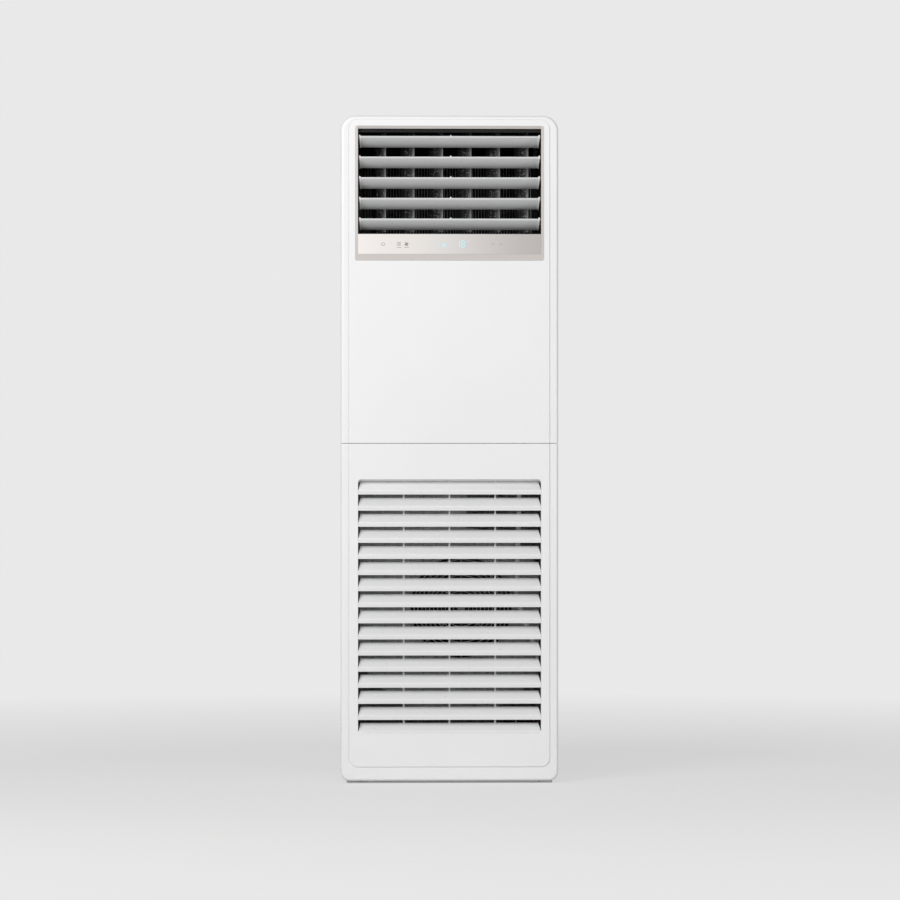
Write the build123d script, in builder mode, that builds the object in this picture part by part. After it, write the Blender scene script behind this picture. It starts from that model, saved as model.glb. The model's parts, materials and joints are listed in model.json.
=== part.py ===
from build123d import *

import os
from math import cos, radians, sin, tan

# Floor standing air conditioner, in millimetres. +Z is up, the front faces -Y, +X is to the right
# as seen from the front, and the origin lies on the floor under the middle of the cabinet.

# ---------------------------------------------------------------- overall size
cabinet_width = 603.0
cabinet_height = 1850.0
cabinet_depth = 400.0
top_corner_radius = 42.0
bottom_corner_radius = 26.0

# ---------------------------------------------------------------- walls, gaps and fits
moulded_wall = 3.0
sheet = 1.2                      # folded sheet steel
seam = 0.6                       # between neighbouring covers
running_clearance = 0.1          # radial, pins and shafts in their bores
seat_clearance = 0.2             # around a piece that drops into a window
end_play = 0.5                   # along an axis, between a moving piece and its stop

# ---------------------------------------------------------------- plinth
plinth_height = 5.5
plinth_side_inset = 16.5
plinth_front_setback = 14.0
plinth_rim = 23.0
base_floor = 1.5

# ---------------------------------------------------------------- front panels
front_panel_depth = 35.0
edge_round = 8.0
bezel_proud = 1.0                # bezel face in front of the panel fields
field_raise = 1.5                # fields in front of the panels' rims
field_edge_round = 1.2
field_side_inset = 24.0
field_top_inset = 12.5
field_bottom_inset = 40.0
field_corner_radius = 24.0
groove_width = 2.5
groove_depth = 1.5
split_height = 942.0
split_gap = 1.4

# ---------------------------------------------------------------- outlet bezel and controls
bezel_side_inset = 40.0
bezel_height = 373.8
bezel_drop = 28.0                # top of the bezel below the top of the cabinet
bezel_corner_radius = 6.0
bezel_side = 7.5
bezel_head = 8.0
head_setback = 5.0
bezel_depth = 12.0
lip_height = 18.1
lip_setback = 2.5
fascia_height = 55.7
fascia_thickness = 1.8
display_width = 84.0
display_height = 26.0
display_centre_x = 12.0
display_thickness = 4.0

# ---------------------------------------------------------------- outlet duct
duct_side_gap = 2.0              # duct wall outside the bezel opening
duct_wall = 2.5
duct_coil_gap = 9.0              # in front of the coil's slanting face

# ---------------------------------------------------------------- outlet blades
blade_count = 5
blade_pitch = 57.2
blade_drop = 35.9                # top blade's axis below the top of the opening
blade_axis_depth = 31.0          # behind the bezel face
blade_chord = 54.0
blade_rest_tilt = 33.7           # front edge up
blade_nose = 2.6
blade_belly = 2.7                # sag of the upper side below the chord
blade_wall = 3.2
blade_end_gap = 1.5
blade_plan_taper = 6.5
blade_pin_radius = 2.5
blade_fence_inset = 5.0
blade_fence = 1.5
fence_rise = 9.0                 # half the height of a fence, square to the chord
fence_proud = 3.5
nub_start = 2.0                  # small rib on the middle of each nose
nub_thickness = 3.0
nub_proud = 1.5
nub_rise = 2.0
nub_length = 17.0
crank_along = 12.6               # link pin behind the blade's axis, along the chord
crank_up = 6.2                   # link pin above the blade's axis, square to the chord
link_thickness = 2.5
link_width = 8.0
link_pin_radius = 2.0

# ---------------------------------------------------------------- outlet vanes
vane_count = 6
vane_side_gap = 55.25            # outermost vanes' pivots to the sides of the opening
vane_axis_depth = 105.0
vane_front = 35.0
vane_rear = 23.0
vane_thickness = 1.8
vane_barrel_radius = 3.2
vane_rest_yaw = 41.0             # front edge towards +X
vane_pin_radius = 2.5
vane_floor_gap = 11.0
vane_ceiling_gap = 5.0
vane_crank = 16.0
vane_link_gap = 3.0              # link's top below the vanes

# ---------------------------------------------------------------- intake grille
louvre_count = 16
louvre_pitch = 44.6
louvre_rise = 23.9
louvre_lip = 11.3
louvre_depth = 25.0
louvre_wall = 2.5
grille_side_inset = 47.5
grille_bottom = 139.0
louvre_first = 3.5               # lowest lip's top above the bottom of the opening
grille_draft = 7.1               # louvre ends and top wall, from the front to the back
grille_frame_step = 0.5          # frame's inner face inside the opening
grille_corner_radius = 9.0
grille_rib_width = 5.0
grille_rib_count = 3
grille_recess = 1.0              # louvre lips behind the field

# ---------------------------------------------------------------- lower panel's hinge and catches
hinge_height = 12.0
hinge_depth = 11.0               # behind the bezel face
hinge_pin_radius = 2.5
hinge_boss_radius = 4.6
hinge_side_inset = 55.5
hinge_lug_thickness = 5.0
hinge_ear_thickness = 6.0
heel_relief = 6.0
heel_height = 24.0
catch_drop = 36.0
catch_width = 14.0
catch_height = 24.0

# ---------------------------------------------------------------- air filter
filter_overlap = 5.0             # filter's sides beyond the grille's opening
filter_thickness = 10.0
filter_bottom = 132.0
filter_height = 718.0
filter_bar = 9.0
filter_gap = 3.0                 # behind the front panels
net_columns = 14
net_rows = 20
net_strand = 0.8
net_thickness = 0.6
rail_hook = 5.0
rail_wall = 2.0

# ---------------------------------------------------------------- cabinet sheets
side_setback = 2.0
front_flange = 25.0
rear_flange = 16.0
base_flange = 12.0
rear_sheet = 1.5
bracket_thickness = 4.0
bracket_width = 320.0
bracket_height = 46.0
bracket_drop = 30.0
bracket_hole_pitch = 240.0
bracket_hole_radius = 4.5
pipe_port_x = 200.0
pipe_port_height = 120.0
pipe_port_radius = 38.0
cable_port_x = -220.0
cable_port_radius = 12.0
grommet_wall = 3.0
grommet_lip = 5.0
grommet_length = 9.0
gland_wall = 3.0
gland_hex = 18.0
screw_radius = 1.9
screw_head_radius = 4.2
screw_head_height = 2.2
screw_length = 6.0
screw_rows = 6
screw_end_inset = 75.0

# ---------------------------------------------------------------- blower
wheel_x = 35.0
wheel_height = 485.0
wheel_radius = 185.0
wheel_inner_radius = 150.0
wheel_blades = 36
wheel_blade_thickness = 1.5
wheel_disc = 2.5
wheel_ring = 4.0
wheel_hub_radius = 24.0
wheel_hub_length = 40.0
wheel_side_gap = 9.0             # wheel to the housing's front and back
shaft_radius = 8.0
housing_front_depth = 134.0      # behind the bezel face, so that the outlet clears the drain pan
housing_length = 145.0
scroll_right_gap = 7.0           # scroll to the right side panel
cut_off_gap = 30.0
scroll_radius = 245.0
scroll_growth = (30.0, 20.0)     # each later arc of the scroll is larger by this
outlet_width = 325.0
plate_flange = 5.0
bellmouth_radius = 143.0
bellmouth_reach = 12.0
guard_ring_pitch = 11.0
guard_rings = 13
guard_first_radius = 22.0
guard_wire = 2.6
guard_stand = 16.0
guard_spokes = 4
motor_radius = 68.0
motor_length = 82.0
motor_gap = 6.0
motor_flange_radius = 84.0
motor_flange = 4.0
motor_bracket_radius = 112.0
motor_leg = 16.0
motor_stand = 16.0

# ---------------------------------------------------------------- deck, pan, coil and pipes
deck_height = 948.0
deck_front_depth = 62.5          # behind the bezel face
partition_gap = 0.4
pan_wall = 2.0
pan_depth = 36.0
pan_front_gap = 2.0
pan_length = 72.0
pan_end_inset = 38.0
coil_slant = 15.0
coil_rise = 62.0                 # above the deck
coil_front_depth = 82.0
coil_head_gap = 96.2             # below the top of the cabinet
coil_thickness = 55.0
coil_side_gap = 16.0             # inside the duct's side walls
fin_pitch = 8.0
fin_gap = 6.0
fin_groove = 12.0
end_plate = 1.5
tube_radius = 4.75
tube_spacing = 25.4
bends_per_row = 14
bend_rows = (14.0, 41.0)         # across the coil's thickness
gas_pipe_radius = 8.0
liquid_pipe_radius = 4.8
flare_nut_length = 20.0
hose_radius = 7.0
hose_bore_radius = 5.5
hose_x = 196.0
hose_lean = 8.0                  # to the left, from the deck down to the guard
hose_front_gap = 2.5             # to the filter's back

# ---------------------------------------------------------------- controls behind the panel
box_width = 380.0
box_rise = 138.0                 # above the split between the panels
box_head_gap = 48.2              # below the bezel
box_depth = 44.0
board_thickness = 1.6
board_stand = 6.0
capacitor_radius = 17.0
capacitor_length = 60.0
capacitor_x = -130.0
terminal_width = 90.0
terminal_height = 26.0
terminal_depth = 20.0
stepper_radius = 14.0
stepper_length = 15.0

# ================================================================ places that follow from the sizes
front_y = -cabinet_depth / 2
rear_y = cabinet_depth / 2
half_width = cabinet_width / 2
field_y = front_y + bezel_proud
rim_y = field_y + field_raise
panel_back_y = front_y + front_panel_depth
sheet_front_y = panel_back_y + seam
rear_face_y = rear_y - bracket_thickness
sheet_rear_y = rear_face_y - rear_sheet
sheet_half_width = half_width - side_setback
inner_half_width = sheet_half_width - sheet
sheet_top = cabinet_height - side_setback
side_panel_top = sheet_top - top_corner_radius - seam

bezel_width = cabinet_width - 2 * bezel_side_inset
bezel_half_width = bezel_width / 2
bezel_top = cabinet_height - bezel_drop
bezel_bottom = bezel_top - bezel_height
opening_half_width = bezel_half_width - bezel_side
opening_top = bezel_top - bezel_head
fascia_bottom = bezel_bottom + lip_height
opening_bottom = fascia_bottom + fascia_height
bezel_back_y = front_y + bezel_depth

duct_half_width = opening_half_width + duct_side_gap
duct_floor_top = opening_bottom - duct_side_gap
duct_ceiling_bottom = opening_top + duct_side_gap
duct_front_y = bezel_back_y
duct_outer_bottom = duct_floor_top - duct_wall
duct_outer_top = duct_ceiling_bottom + duct_wall

blade_axis_y = front_y + blade_axis_depth
blade_heights = [opening_top - blade_drop - row * blade_pitch for row in range(blade_count)]
blade_lead = blade_count // 2
blade_half_width = duct_half_width - blade_end_gap - duct_side_gap
link_side_gap = (duct_half_width - blade_half_width - link_thickness) / 2
link_near_x = blade_half_width + link_side_gap
vane_axis_y = front_y + vane_axis_depth
vane_pitch = 2 * (opening_half_width - vane_side_gap) / (vane_count - 1)
vane_places = [(column - (vane_count - 1) / 2) * vane_pitch for column in range(vane_count)]
vane_lead = vane_count // 2
vane_bottom = duct_floor_top + vane_floor_gap
vane_top = duct_ceiling_bottom - vane_ceiling_gap
vane_link_top = vane_bottom - vane_link_gap

lower_panel_bottom = plinth_height + seam
lower_panel_top = split_height - split_gap / 2
upper_panel_bottom = split_height + split_gap / 2
grille_width = cabinet_width - 2 * grille_side_inset
grille_rib_pitch = grille_width / (grille_rib_count + 1)
grille_height = louvre_first + (louvre_count - 1) * louvre_pitch + louvre_rise + grille_draft
grille_top = grille_bottom + grille_height
hinge_y = front_y + hinge_depth
hinge_lug_x = half_width - hinge_side_inset

filter_front_y = panel_back_y + filter_gap + 2 * rail_wall
filter_back_y = filter_front_y + filter_thickness
filter_top = filter_bottom + filter_height
filter_width = grille_width + 2 * filter_overlap
rail_half_gap = filter_width / 2 + end_play

plinth_front_y = front_y + plinth_front_setback
plinth_back_y = sheet_rear_y
plinth_half_width = half_width - plinth_side_inset

scroll_right = inner_half_width - scroll_right_gap
scroll_top = wheel_height + wheel_radius + cut_off_gap
cut_off_x = scroll_right - scroll_radius
scroll_mid = scroll_top - scroll_radius
second_radius = scroll_radius + scroll_growth[0]
third_radius = second_radius + scroll_growth[1]
scroll_bottom = scroll_mid - second_radius
second_centre_x = scroll_right - second_radius
scroll_left = second_centre_x - third_radius
third_centre_height = scroll_bottom + third_radius
outlet_right = scroll_left + outlet_width
housing_front_y = front_y + housing_front_depth
housing_back_y = housing_front_y + housing_length
wheel_front_y = housing_front_y + wheel_side_gap
wheel_back_y = housing_back_y - wheel_side_gap
motor_front_y = housing_back_y + sheet + motor_gap
guard_radius = guard_first_radius + guard_ring_pitch * (guard_rings - 1)

deck_front_y = front_y + deck_front_depth
deck_top = deck_height + sheet
pan_front_y = deck_front_y + sheet + partition_gap + pan_front_gap
pan_half_width = sheet_half_width - pan_end_inset
coil_front_y = front_y + coil_front_depth
coil_bottom_height = deck_height + coil_rise
coil_top_height = cabinet_height - coil_head_gap
coil_length = (coil_top_height - coil_bottom_height) / cos(radians(coil_slant))
coil_width = 2 * (duct_half_width - coil_side_gap)
coil_up = (0, sin(radians(coil_slant)), cos(radians(coil_slant)))
coil_foot = Plane(origin=(0, coil_front_y, coil_bottom_height), x_dir=(1, 0, 0), z_dir=coil_up)
coil_half_width = coil_width / 2
duct_floor_back_y, duct_ceiling_back_y = [
    coil_front_y + (level - coil_bottom_height) * tan(radians(coil_slant)) - duct_coil_gap
    for level in (duct_outer_bottom, duct_outer_top)
]
screw_column_x = sheet_half_width - rear_flange / 2
screw_middle_height = cabinet_height / 2
screw_row_pitch = (cabinet_height - 2 * screw_end_inset) / (screw_rows - 1)
bracket_height_centre = cabinet_height - bracket_drop - bracket_height / 2


def facing(depth_y):
    # A plane as the front sees it: its x is X, its y is Z, and it extrudes towards the front.
    return Plane.XZ.offset(-depth_y)


def rounded_face(face_half_width, bottom, top, bottom_radius, top_radius):
    # An upright face about the middle, with its own radius at the two lower and two upper corners.
    with BuildSketch() as face:
        with Locations((0, (bottom + top) / 2)):
            Rectangle(2 * face_half_width, top - bottom)
        if bottom_radius > 0:
            fillet(face.vertices().group_by(Axis.Y)[0], bottom_radius)
        if top_radius > 0:
            fillet(face.vertices().group_by(Axis.Y)[-1], top_radius)
    return face.sketch


def write(part, name):
    part.label = name
    export_step(part, f"parts/{name}.step")


os.makedirs("parts", exist_ok=True)

# ================================================================ base pan
# A shallow tray: its rim carries the side panels, and two lugs carry the lower panel's hinge pins.
with BuildPart() as base_pan:
    with BuildSketch():
        with Locations((0, (plinth_front_y + plinth_back_y) / 2)):
            Rectangle(2 * plinth_half_width, plinth_back_y - plinth_front_y)
    extrude(amount=plinth_height)
    with BuildSketch(Plane.XY.offset(base_floor)):
        with Locations((0, (plinth_front_y + plinth_back_y) / 2)):
            Rectangle(
                2 * (plinth_half_width - plinth_rim),
                plinth_back_y - plinth_front_y - 2 * plinth_rim,
            )
    extrude(amount=plinth_height, mode=Mode.SUBTRACT)
    for side in (-1, 1):
        with BuildSketch(Plane.YZ.offset(side * hinge_lug_x)):
            with BuildLine():
                Polyline(
                    (plinth_front_y, plinth_height / 2),
                    (plinth_front_y + plinth_rim / 2, plinth_height / 2),
                    (plinth_front_y + plinth_rim / 2, plinth_height),
                    (hinge_y, hinge_height + hinge_boss_radius),
                    (hinge_y, hinge_height - hinge_boss_radius),
                    close=True,
                )
            make_face()
            with Locations((hinge_y, hinge_height)):
                Circle(hinge_boss_radius)
                Circle(hinge_pin_radius, mode=Mode.SUBTRACT)
        extrude(amount=side * hinge_lug_thickness)
write(base_pan.part, "base_pan")

with BuildPart() as hinge_pins:
    for side in (-1, 1):
        with BuildSketch(Plane.YZ.offset(side * (hinge_lug_x + hinge_lug_thickness))):
            with Locations((hinge_y, hinge_height)):
                Circle(hinge_pin_radius)
        extrude(amount=-side * (hinge_lug_thickness + end_play + hinge_ear_thickness))
write(hinge_pins.part, "hinge_pins")

# ================================================================ cabinet sheets
# One folded band round the cabinet, with a flange at each end, parted into two sides and a top.
band_outside = rounded_face(
    sheet_half_width, plinth_height, sheet_top, bottom_corner_radius, top_corner_radius
)
band_inside = rounded_face(
    sheet_half_width - sheet,
    plinth_height + sheet,
    sheet_top - sheet,
    bottom_corner_radius - sheet,
    top_corner_radius - sheet,
)
front_flange_inside = rounded_face(
    sheet_half_width - front_flange,
    plinth_height + base_flange,
    sheet_top - front_flange,
    0,
    top_corner_radius - front_flange,
)
rear_flange_inside = rounded_face(
    sheet_half_width - rear_flange,
    plinth_height + base_flange,
    sheet_top - rear_flange,
    0,
    top_corner_radius - rear_flange,
)
with BuildPart() as cabinet_band:
    with BuildSketch(facing(sheet_rear_y)):
        add(band_outside)
        add(band_inside, mode=Mode.SUBTRACT)
    extrude(amount=sheet_rear_y - sheet_front_y)
    with BuildSketch(facing(sheet_front_y + sheet)):
        add(band_outside)
        add(front_flange_inside, mode=Mode.SUBTRACT)
    extrude(amount=sheet)
    with BuildSketch(facing(sheet_rear_y)):
        add(band_outside)
        add(rear_flange_inside, mode=Mode.SUBTRACT)
    extrude(amount=sheet)
    with Locations(Location((0, sheet_rear_y, screw_middle_height), (90, 0, 0))):
        with GridLocations(2 * screw_column_x, screw_row_pitch, 2, screw_rows):
            Hole(screw_radius, 2 * sheet)

side_panel_reach = sheet_half_width - (plinth_half_width - plinth_rim)
for side, name in ((-1, "left_side_panel"), (1, "right_side_panel")):
    with BuildPart() as side_panel:
        add(cabinet_band.part)
        with Locations((side * (sheet_half_width - side_panel_reach / 2), 0, side_panel_top / 2)):
            Box(side_panel_reach, cabinet_depth, side_panel_top, mode=Mode.INTERSECT)
    write(side_panel.part, name)

with BuildPart() as top_cover:
    add(cabinet_band.part)
    top_cover_height = sheet_top - side_panel_top - seam
    with Locations((0, 0, sheet_top - top_cover_height / 2)):
        Box(cabinet_width, cabinet_depth, top_cover_height, mode=Mode.INTERSECT)
write(top_cover.part, "top_cover")

rear_face = rounded_face(
    sheet_half_width - seam,
    plinth_height + side_setback,
    sheet_top - seam,
    bottom_corner_radius - seam,
    top_corner_radius - seam,
)
bracket_holes = [(side * bracket_hole_pitch / 2, bracket_height_centre) for side in (-1, 1)]
with BuildPart() as rear_panel:
    with BuildSketch(facing(rear_face_y)):
        add(rear_face)
        with Locations((pipe_port_x, pipe_port_height)):
            Circle(pipe_port_radius + grommet_wall, mode=Mode.SUBTRACT)
        with Locations((cable_port_x, pipe_port_height)):
            Circle(cable_port_radius + gland_wall, mode=Mode.SUBTRACT)
        with Locations((0, screw_middle_height)):
            with GridLocations(2 * screw_column_x, screw_row_pitch, 2, screw_rows):
                Circle(screw_radius, mode=Mode.SUBTRACT)
    extrude(amount=rear_sheet)
write(rear_panel.part, "rear_panel")

with BuildPart() as cabinet_screws:
    with BuildSketch(facing(rear_face_y + screw_head_height)):
        with Locations((0, screw_middle_height)):
            with GridLocations(2 * screw_column_x, screw_row_pitch, 2, screw_rows):
                Circle(screw_head_radius)
    extrude(amount=screw_head_height)
    with BuildSketch(facing(rear_face_y)):
        with Locations((0, screw_middle_height)):
            with GridLocations(2 * screw_column_x, screw_row_pitch, 2, screw_rows):
                Circle(screw_radius)
    extrude(amount=screw_length)
write(cabinet_screws.part, "cabinet_screws")

with BuildPart() as wall_bracket:
    with BuildSketch(facing(rear_y)):
        with Locations((0, bracket_height_centre)):
            RectangleRounded(bracket_width, bracket_height, bracket_hole_radius)
        with Locations(*bracket_holes):
            Circle(bracket_hole_radius, mode=Mode.SUBTRACT)
    extrude(amount=bracket_thickness)
write(wall_bracket.part, "wall_bracket")

# Rubber ring that lines the pipe port, with a lip on each face of the rear panel.
with BuildPart() as pipe_grommet:
    with BuildSketch(facing(rear_face_y + (grommet_length - rear_sheet) / 2)):
        with Locations((pipe_port_x, pipe_port_height)):
            Circle(pipe_port_radius + grommet_wall + grommet_lip)
            Circle(pipe_port_radius, mode=Mode.SUBTRACT)
    extrude(amount=grommet_length)
    with BuildSketch(facing(rear_face_y)):
        with Locations((pipe_port_x, pipe_port_height)):
            Circle(pipe_port_radius + grommet_wall + 2 * grommet_lip)
            Circle(pipe_port_radius + grommet_wall, mode=Mode.SUBTRACT)
    extrude(amount=rear_sheet, mode=Mode.SUBTRACT)
write(pipe_grommet.part, "pipe_grommet")

with BuildPart() as cable_gland:
    with BuildSketch(facing(rear_y)):
        with Locations((cable_port_x, pipe_port_height)):
            RegularPolygon(gland_hex, 6)
            Circle(cable_port_radius, mode=Mode.SUBTRACT)
    extrude(amount=bracket_thickness)
    with BuildSketch(facing(rear_face_y)):
        with Locations((cable_port_x, pipe_port_height)):
            Circle(cable_port_radius + gland_wall)
            Circle(cable_port_radius, mode=Mode.SUBTRACT)
    extrude(amount=grommet_length)
write(cable_gland.part, "cable_gland")

# ================================================================ upper front panel
# A moulded shell: a rounded rim, a fine groove, a raised field and the window for the bezel.
upper_rim_face = rounded_face(half_width, upper_panel_bottom, cabinet_height, 0, top_corner_radius)
upper_hollow_face = rounded_face(
    half_width - moulded_wall,
    upper_panel_bottom + moulded_wall,
    cabinet_height - moulded_wall,
    0,
    top_corner_radius - moulded_wall,
)
field_half_width = half_width - field_side_inset
upper_field_top = cabinet_height - field_top_inset
upper_field_face = rounded_face(
    field_half_width, upper_panel_bottom, upper_field_top, 0, field_corner_radius
)
upper_groove_face = rounded_face(
    field_half_width + groove_width,
    upper_panel_bottom - groove_width,
    upper_field_top + groove_width,
    0,
    field_corner_radius + groove_width,
)
with BuildPart() as front_upper_panel:
    with BuildSketch(facing(panel_back_y)):
        add(upper_rim_face)
    extrude(amount=panel_back_y - rim_y)
    rim_edges = front_upper_panel.faces().sort_by(Axis.Y)[0].edges().sort_by(Axis.Z)[1:]
    fillet(rim_edges, edge_round)
    with BuildSketch(facing(panel_back_y)):
        add(upper_hollow_face)
    extrude(amount=panel_back_y - rim_y - moulded_wall, mode=Mode.SUBTRACT)
    with BuildSketch(facing(rim_y + groove_depth)):
        add(upper_groove_face)
        add(upper_field_face, mode=Mode.SUBTRACT)
    extrude(amount=2 * groove_depth, mode=Mode.SUBTRACT)
    with BuildSketch(facing(rim_y + groove_depth)):
        add(upper_field_face)
    extrude(amount=rim_y + groove_depth - field_y)
    field_edges = front_upper_panel.faces().sort_by(Axis.Y)[0].edges().sort_by(Axis.Z)[1:]
    fillet(field_edges, field_edge_round)
    with BuildSketch(facing(panel_back_y)):
        with Locations((0, (bezel_bottom + bezel_top) / 2)):
            RectangleRounded(
                bezel_width + 2 * seat_clearance,
                bezel_height + 2 * seat_clearance,
                bezel_corner_radius + seat_clearance,
            )
    extrude(amount=front_panel_depth, mode=Mode.SUBTRACT)
write(front_upper_panel.part, "front_upper_panel")

# ================================================================ outlet bezel, fascia and display
# The bezel frames the outlet and slopes back into it under its head; below the outlet a shallow
# seat takes the control fascia, and the lowest strip slopes back.
with BuildPart() as outlet_bezel:
    with BuildSketch(facing(bezel_back_y)):
        with Locations((0, (bezel_bottom + bezel_top) / 2)):
            RectangleRounded(bezel_width, bezel_height, bezel_corner_radius)
    extrude(amount=bezel_depth)
    with BuildSketch(facing(bezel_back_y)):
        with Locations((0, (opening_bottom + opening_top) / 2)):
            Rectangle(2 * opening_half_width, opening_top - opening_bottom)
    extrude(amount=bezel_depth, mode=Mode.SUBTRACT)
    with BuildSketch(facing(front_y + fascia_thickness)):
        with Locations((0, (fascia_bottom + opening_bottom) / 2)):
            Rectangle(2 * opening_half_width, fascia_height)
    extrude(amount=fascia_thickness, mode=Mode.SUBTRACT)
    with BuildSketch(facing(bezel_back_y)):
        with Locations((display_centre_x, (fascia_bottom + opening_bottom) / 2)):
            Rectangle(display_width + 2 * seat_clearance, display_height + 2 * seat_clearance)
    extrude(amount=bezel_depth, mode=Mode.SUBTRACT)
    with BuildSketch(Plane.YZ.offset(-bezel_half_width)):
        with BuildLine():
            Polyline(
                (front_y, fascia_bottom),
                (front_y + lip_setback, bezel_bottom),
                (front_y, bezel_bottom),
                close=True,
            )
        make_face()
    extrude(amount=bezel_width, mode=Mode.SUBTRACT)
    with BuildSketch(Plane.YZ.offset(-opening_half_width)):
        with BuildLine():
            Polyline(
                (front_y, bezel_top - seam),
                (front_y + head_setback, opening_top),
                (front_y, opening_top),
                close=True,
            )
        make_face()
    extrude(amount=2 * opening_half_width, mode=Mode.SUBTRACT)
write(outlet_bezel.part, "outlet_bezel")

with BuildPart() as control_fascia:
    with BuildSketch(facing(front_y + fascia_thickness)):
        with Locations((0, (fascia_bottom + opening_bottom) / 2)):
            RectangleRounded(
                2 * (opening_half_width - seat_clearance),
                fascia_height - 2 * seat_clearance,
                seat_clearance * 4,
            )
    extrude(amount=fascia_thickness - seat_clearance)
write(control_fascia.part, "control_fascia")

display_front_y = front_y + fascia_thickness + seat_clearance
board_front_y = display_front_y + display_thickness
with BuildPart() as display_board:
    with BuildSketch(facing(board_front_y)):
        with Locations((display_centre_x, (fascia_bottom + opening_bottom) / 2)):
            Rectangle(display_width, display_height)
    extrude(amount=display_thickness)
    with BuildSketch(facing(bezel_back_y + board_thickness)):
        with Locations((display_centre_x, (fascia_bottom + opening_bottom) / 2)):
            Rectangle(display_width * 1.5, display_height * 1.4)
    extrude(amount=board_thickness)
    with BuildSketch(facing(bezel_back_y)):
        with Locations((display_centre_x, (fascia_bottom + opening_bottom) / 2)):
            Rectangle(display_width - display_thickness, display_height - display_thickness)
    extrude(amount=bezel_back_y - board_front_y)
write(display_board.part, "display_board")

# ================================================================ outlet duct
# The duct reaches back to just in front of the slanting coil.
for name, level, edge, back_y in (
    ("duct_floor", duct_outer_bottom, duct_floor_top, duct_floor_back_y),
    ("duct_ceiling", duct_ceiling_bottom, duct_outer_top, duct_ceiling_back_y),
):
    with BuildPart() as duct_plate:
        with BuildSketch(Plane.XY.offset(level)):
            with Locations((0, (duct_front_y + back_y) / 2)):
                Rectangle(2 * duct_half_width, back_y - duct_front_y)
            with Locations(*[(place, vane_axis_y) for place in vane_places]):
                Circle(vane_pin_radius + running_clearance, mode=Mode.SUBTRACT)
        extrude(amount=edge - level)
    write(duct_plate.part, name)

with BuildPart() as duct_side_walls:
    for side in (-1, 1):
        with BuildSketch(Plane.YZ.offset(side * duct_half_width)):
            with BuildLine():
                Polyline(
                    (duct_front_y, duct_outer_bottom),
                    (duct_floor_back_y, duct_outer_bottom),
                    (duct_ceiling_back_y, duct_outer_top),
                    (duct_front_y, duct_outer_top),
                    close=True,
                )
            make_face()
            with Locations(*[(blade_axis_y, height) for height in blade_heights]):
                Circle(blade_pin_radius + running_clearance, mode=Mode.SUBTRACT)
        extrude(amount=side * duct_wall)
write(duct_side_walls.part, "duct_side_walls")

# ================================================================ outlet blades and their link
# Each blade is drawn across its chord: x runs from the nose to the tail, y is the upper side.
tilt = radians(blade_rest_tilt)
chord_way = (0, cos(tilt), -sin(tilt))
upper_way = (0, sin(tilt), cos(tilt))
half_chord = blade_chord / 2
pin_reach = duct_half_width + duct_wall - end_play
link_pin_reach = link_near_x + link_thickness + link_side_gap / 2


def outlet_blade(height, name):
    section = Plane(origin=(0, blade_axis_y, height), x_dir=chord_way, z_dir=(1, 0, 0))
    plan = Plane(origin=(0, blade_axis_y, height), x_dir=(1, 0, 0), z_dir=upper_way)
    with BuildPart() as blade:
        with BuildSketch(section):
            with BuildLine():
                upper = ThreePointArc(
                    (blade_nose - half_chord, blade_nose),
                    (0, -blade_belly),
                    (half_chord, blade_nose / 4),
                )
                Line(upper @ 1, (half_chord, -blade_nose / 4))
                lower = ThreePointArc(
                    (half_chord, -blade_nose / 4),
                    (0, -blade_belly - blade_wall),
                    (blade_nose - half_chord, -blade_nose),
                )
                ThreePointArc(lower @ 1, (-half_chord, 0), upper @ 0)
            make_face()
        extrude(amount=blade_half_width, both=True)
        with BuildSketch(plan):
            with BuildLine():
                Polyline(
                    (-blade_half_width, -blade_chord),
                    (blade_half_width, -blade_chord),
                    (blade_half_width, -half_chord),
                    (blade_half_width - blade_plan_taper, half_chord),
                    (blade_half_width - blade_plan_taper, blade_chord),
                    (blade_plan_taper - blade_half_width, blade_chord),
                    (blade_plan_taper - blade_half_width, half_chord),
                    (-blade_half_width, -half_chord),
                    close=True,
                )
            make_face()
        extrude(amount=blade_chord / 4, both=True, mode=Mode.INTERSECT)
        with BuildSketch(section.offset(nub_start)):
            with BuildLine():
                Polyline(
                    (-half_chord - nub_proud, 0),
                    (-half_chord, blade_nose + nub_rise),
                    (nub_length - half_chord, nub_proud),
                    (blade_nose, -blade_belly - blade_wall / 2),
                    (-half_chord / 2, -blade_belly),
                    close=True,
                )
            make_face()
        extrude(amount=nub_thickness)
        for side in (-1, 1):
            fence_x = side * (blade_half_width - blade_plan_taper - blade_fence_inset)
            with BuildSketch(section.offset(fence_x)):
                with Locations((-fence_proud, 0)):
                    Ellipse(half_chord, fence_rise)
                if side > 0:
                    with Locations((crank_along, crank_up)):
                        Circle(link_width / 2)
            extrude(amount=side * blade_fence)
            with BuildSketch(section.offset(fence_x)):
                Circle(blade_pin_radius)
            extrude(amount=side * (pin_reach - abs(fence_x)))
        with BuildSketch(section.offset(fence_x)):
            with Locations((crank_along, crank_up)):
                Circle(link_pin_radius)
        extrude(amount=link_pin_reach - fence_x)
    write(blade.part, name)


for number, height in enumerate(blade_heights, start=1):
    outlet_blade(height, f"blade_{number}")

# The link stands between the blades' right ends and the duct's side wall. Its pins lie behind the
# blades' axes and keep the bar upright as the blades turn.
link_pin_y = blade_axis_y + crank_along * chord_way[1] + crank_up * upper_way[1]
link_pin_rise = crank_along * chord_way[2] + crank_up * upper_way[2]
with BuildPart() as blade_link:
    with BuildSketch(Plane.YZ.offset(link_near_x)):
        with Locations((link_pin_y, (blade_heights[0] + blade_heights[-1]) / 2 + link_pin_rise)):
            Rectangle(link_width, blade_pitch * (blade_count - 1) + link_width)
        with Locations(*[(link_pin_y, height + link_pin_rise) for height in blade_heights]):
            Circle(link_pin_radius + running_clearance, mode=Mode.SUBTRACT)
    extrude(amount=link_thickness)
write(blade_link.part, "blade_link")

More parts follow.
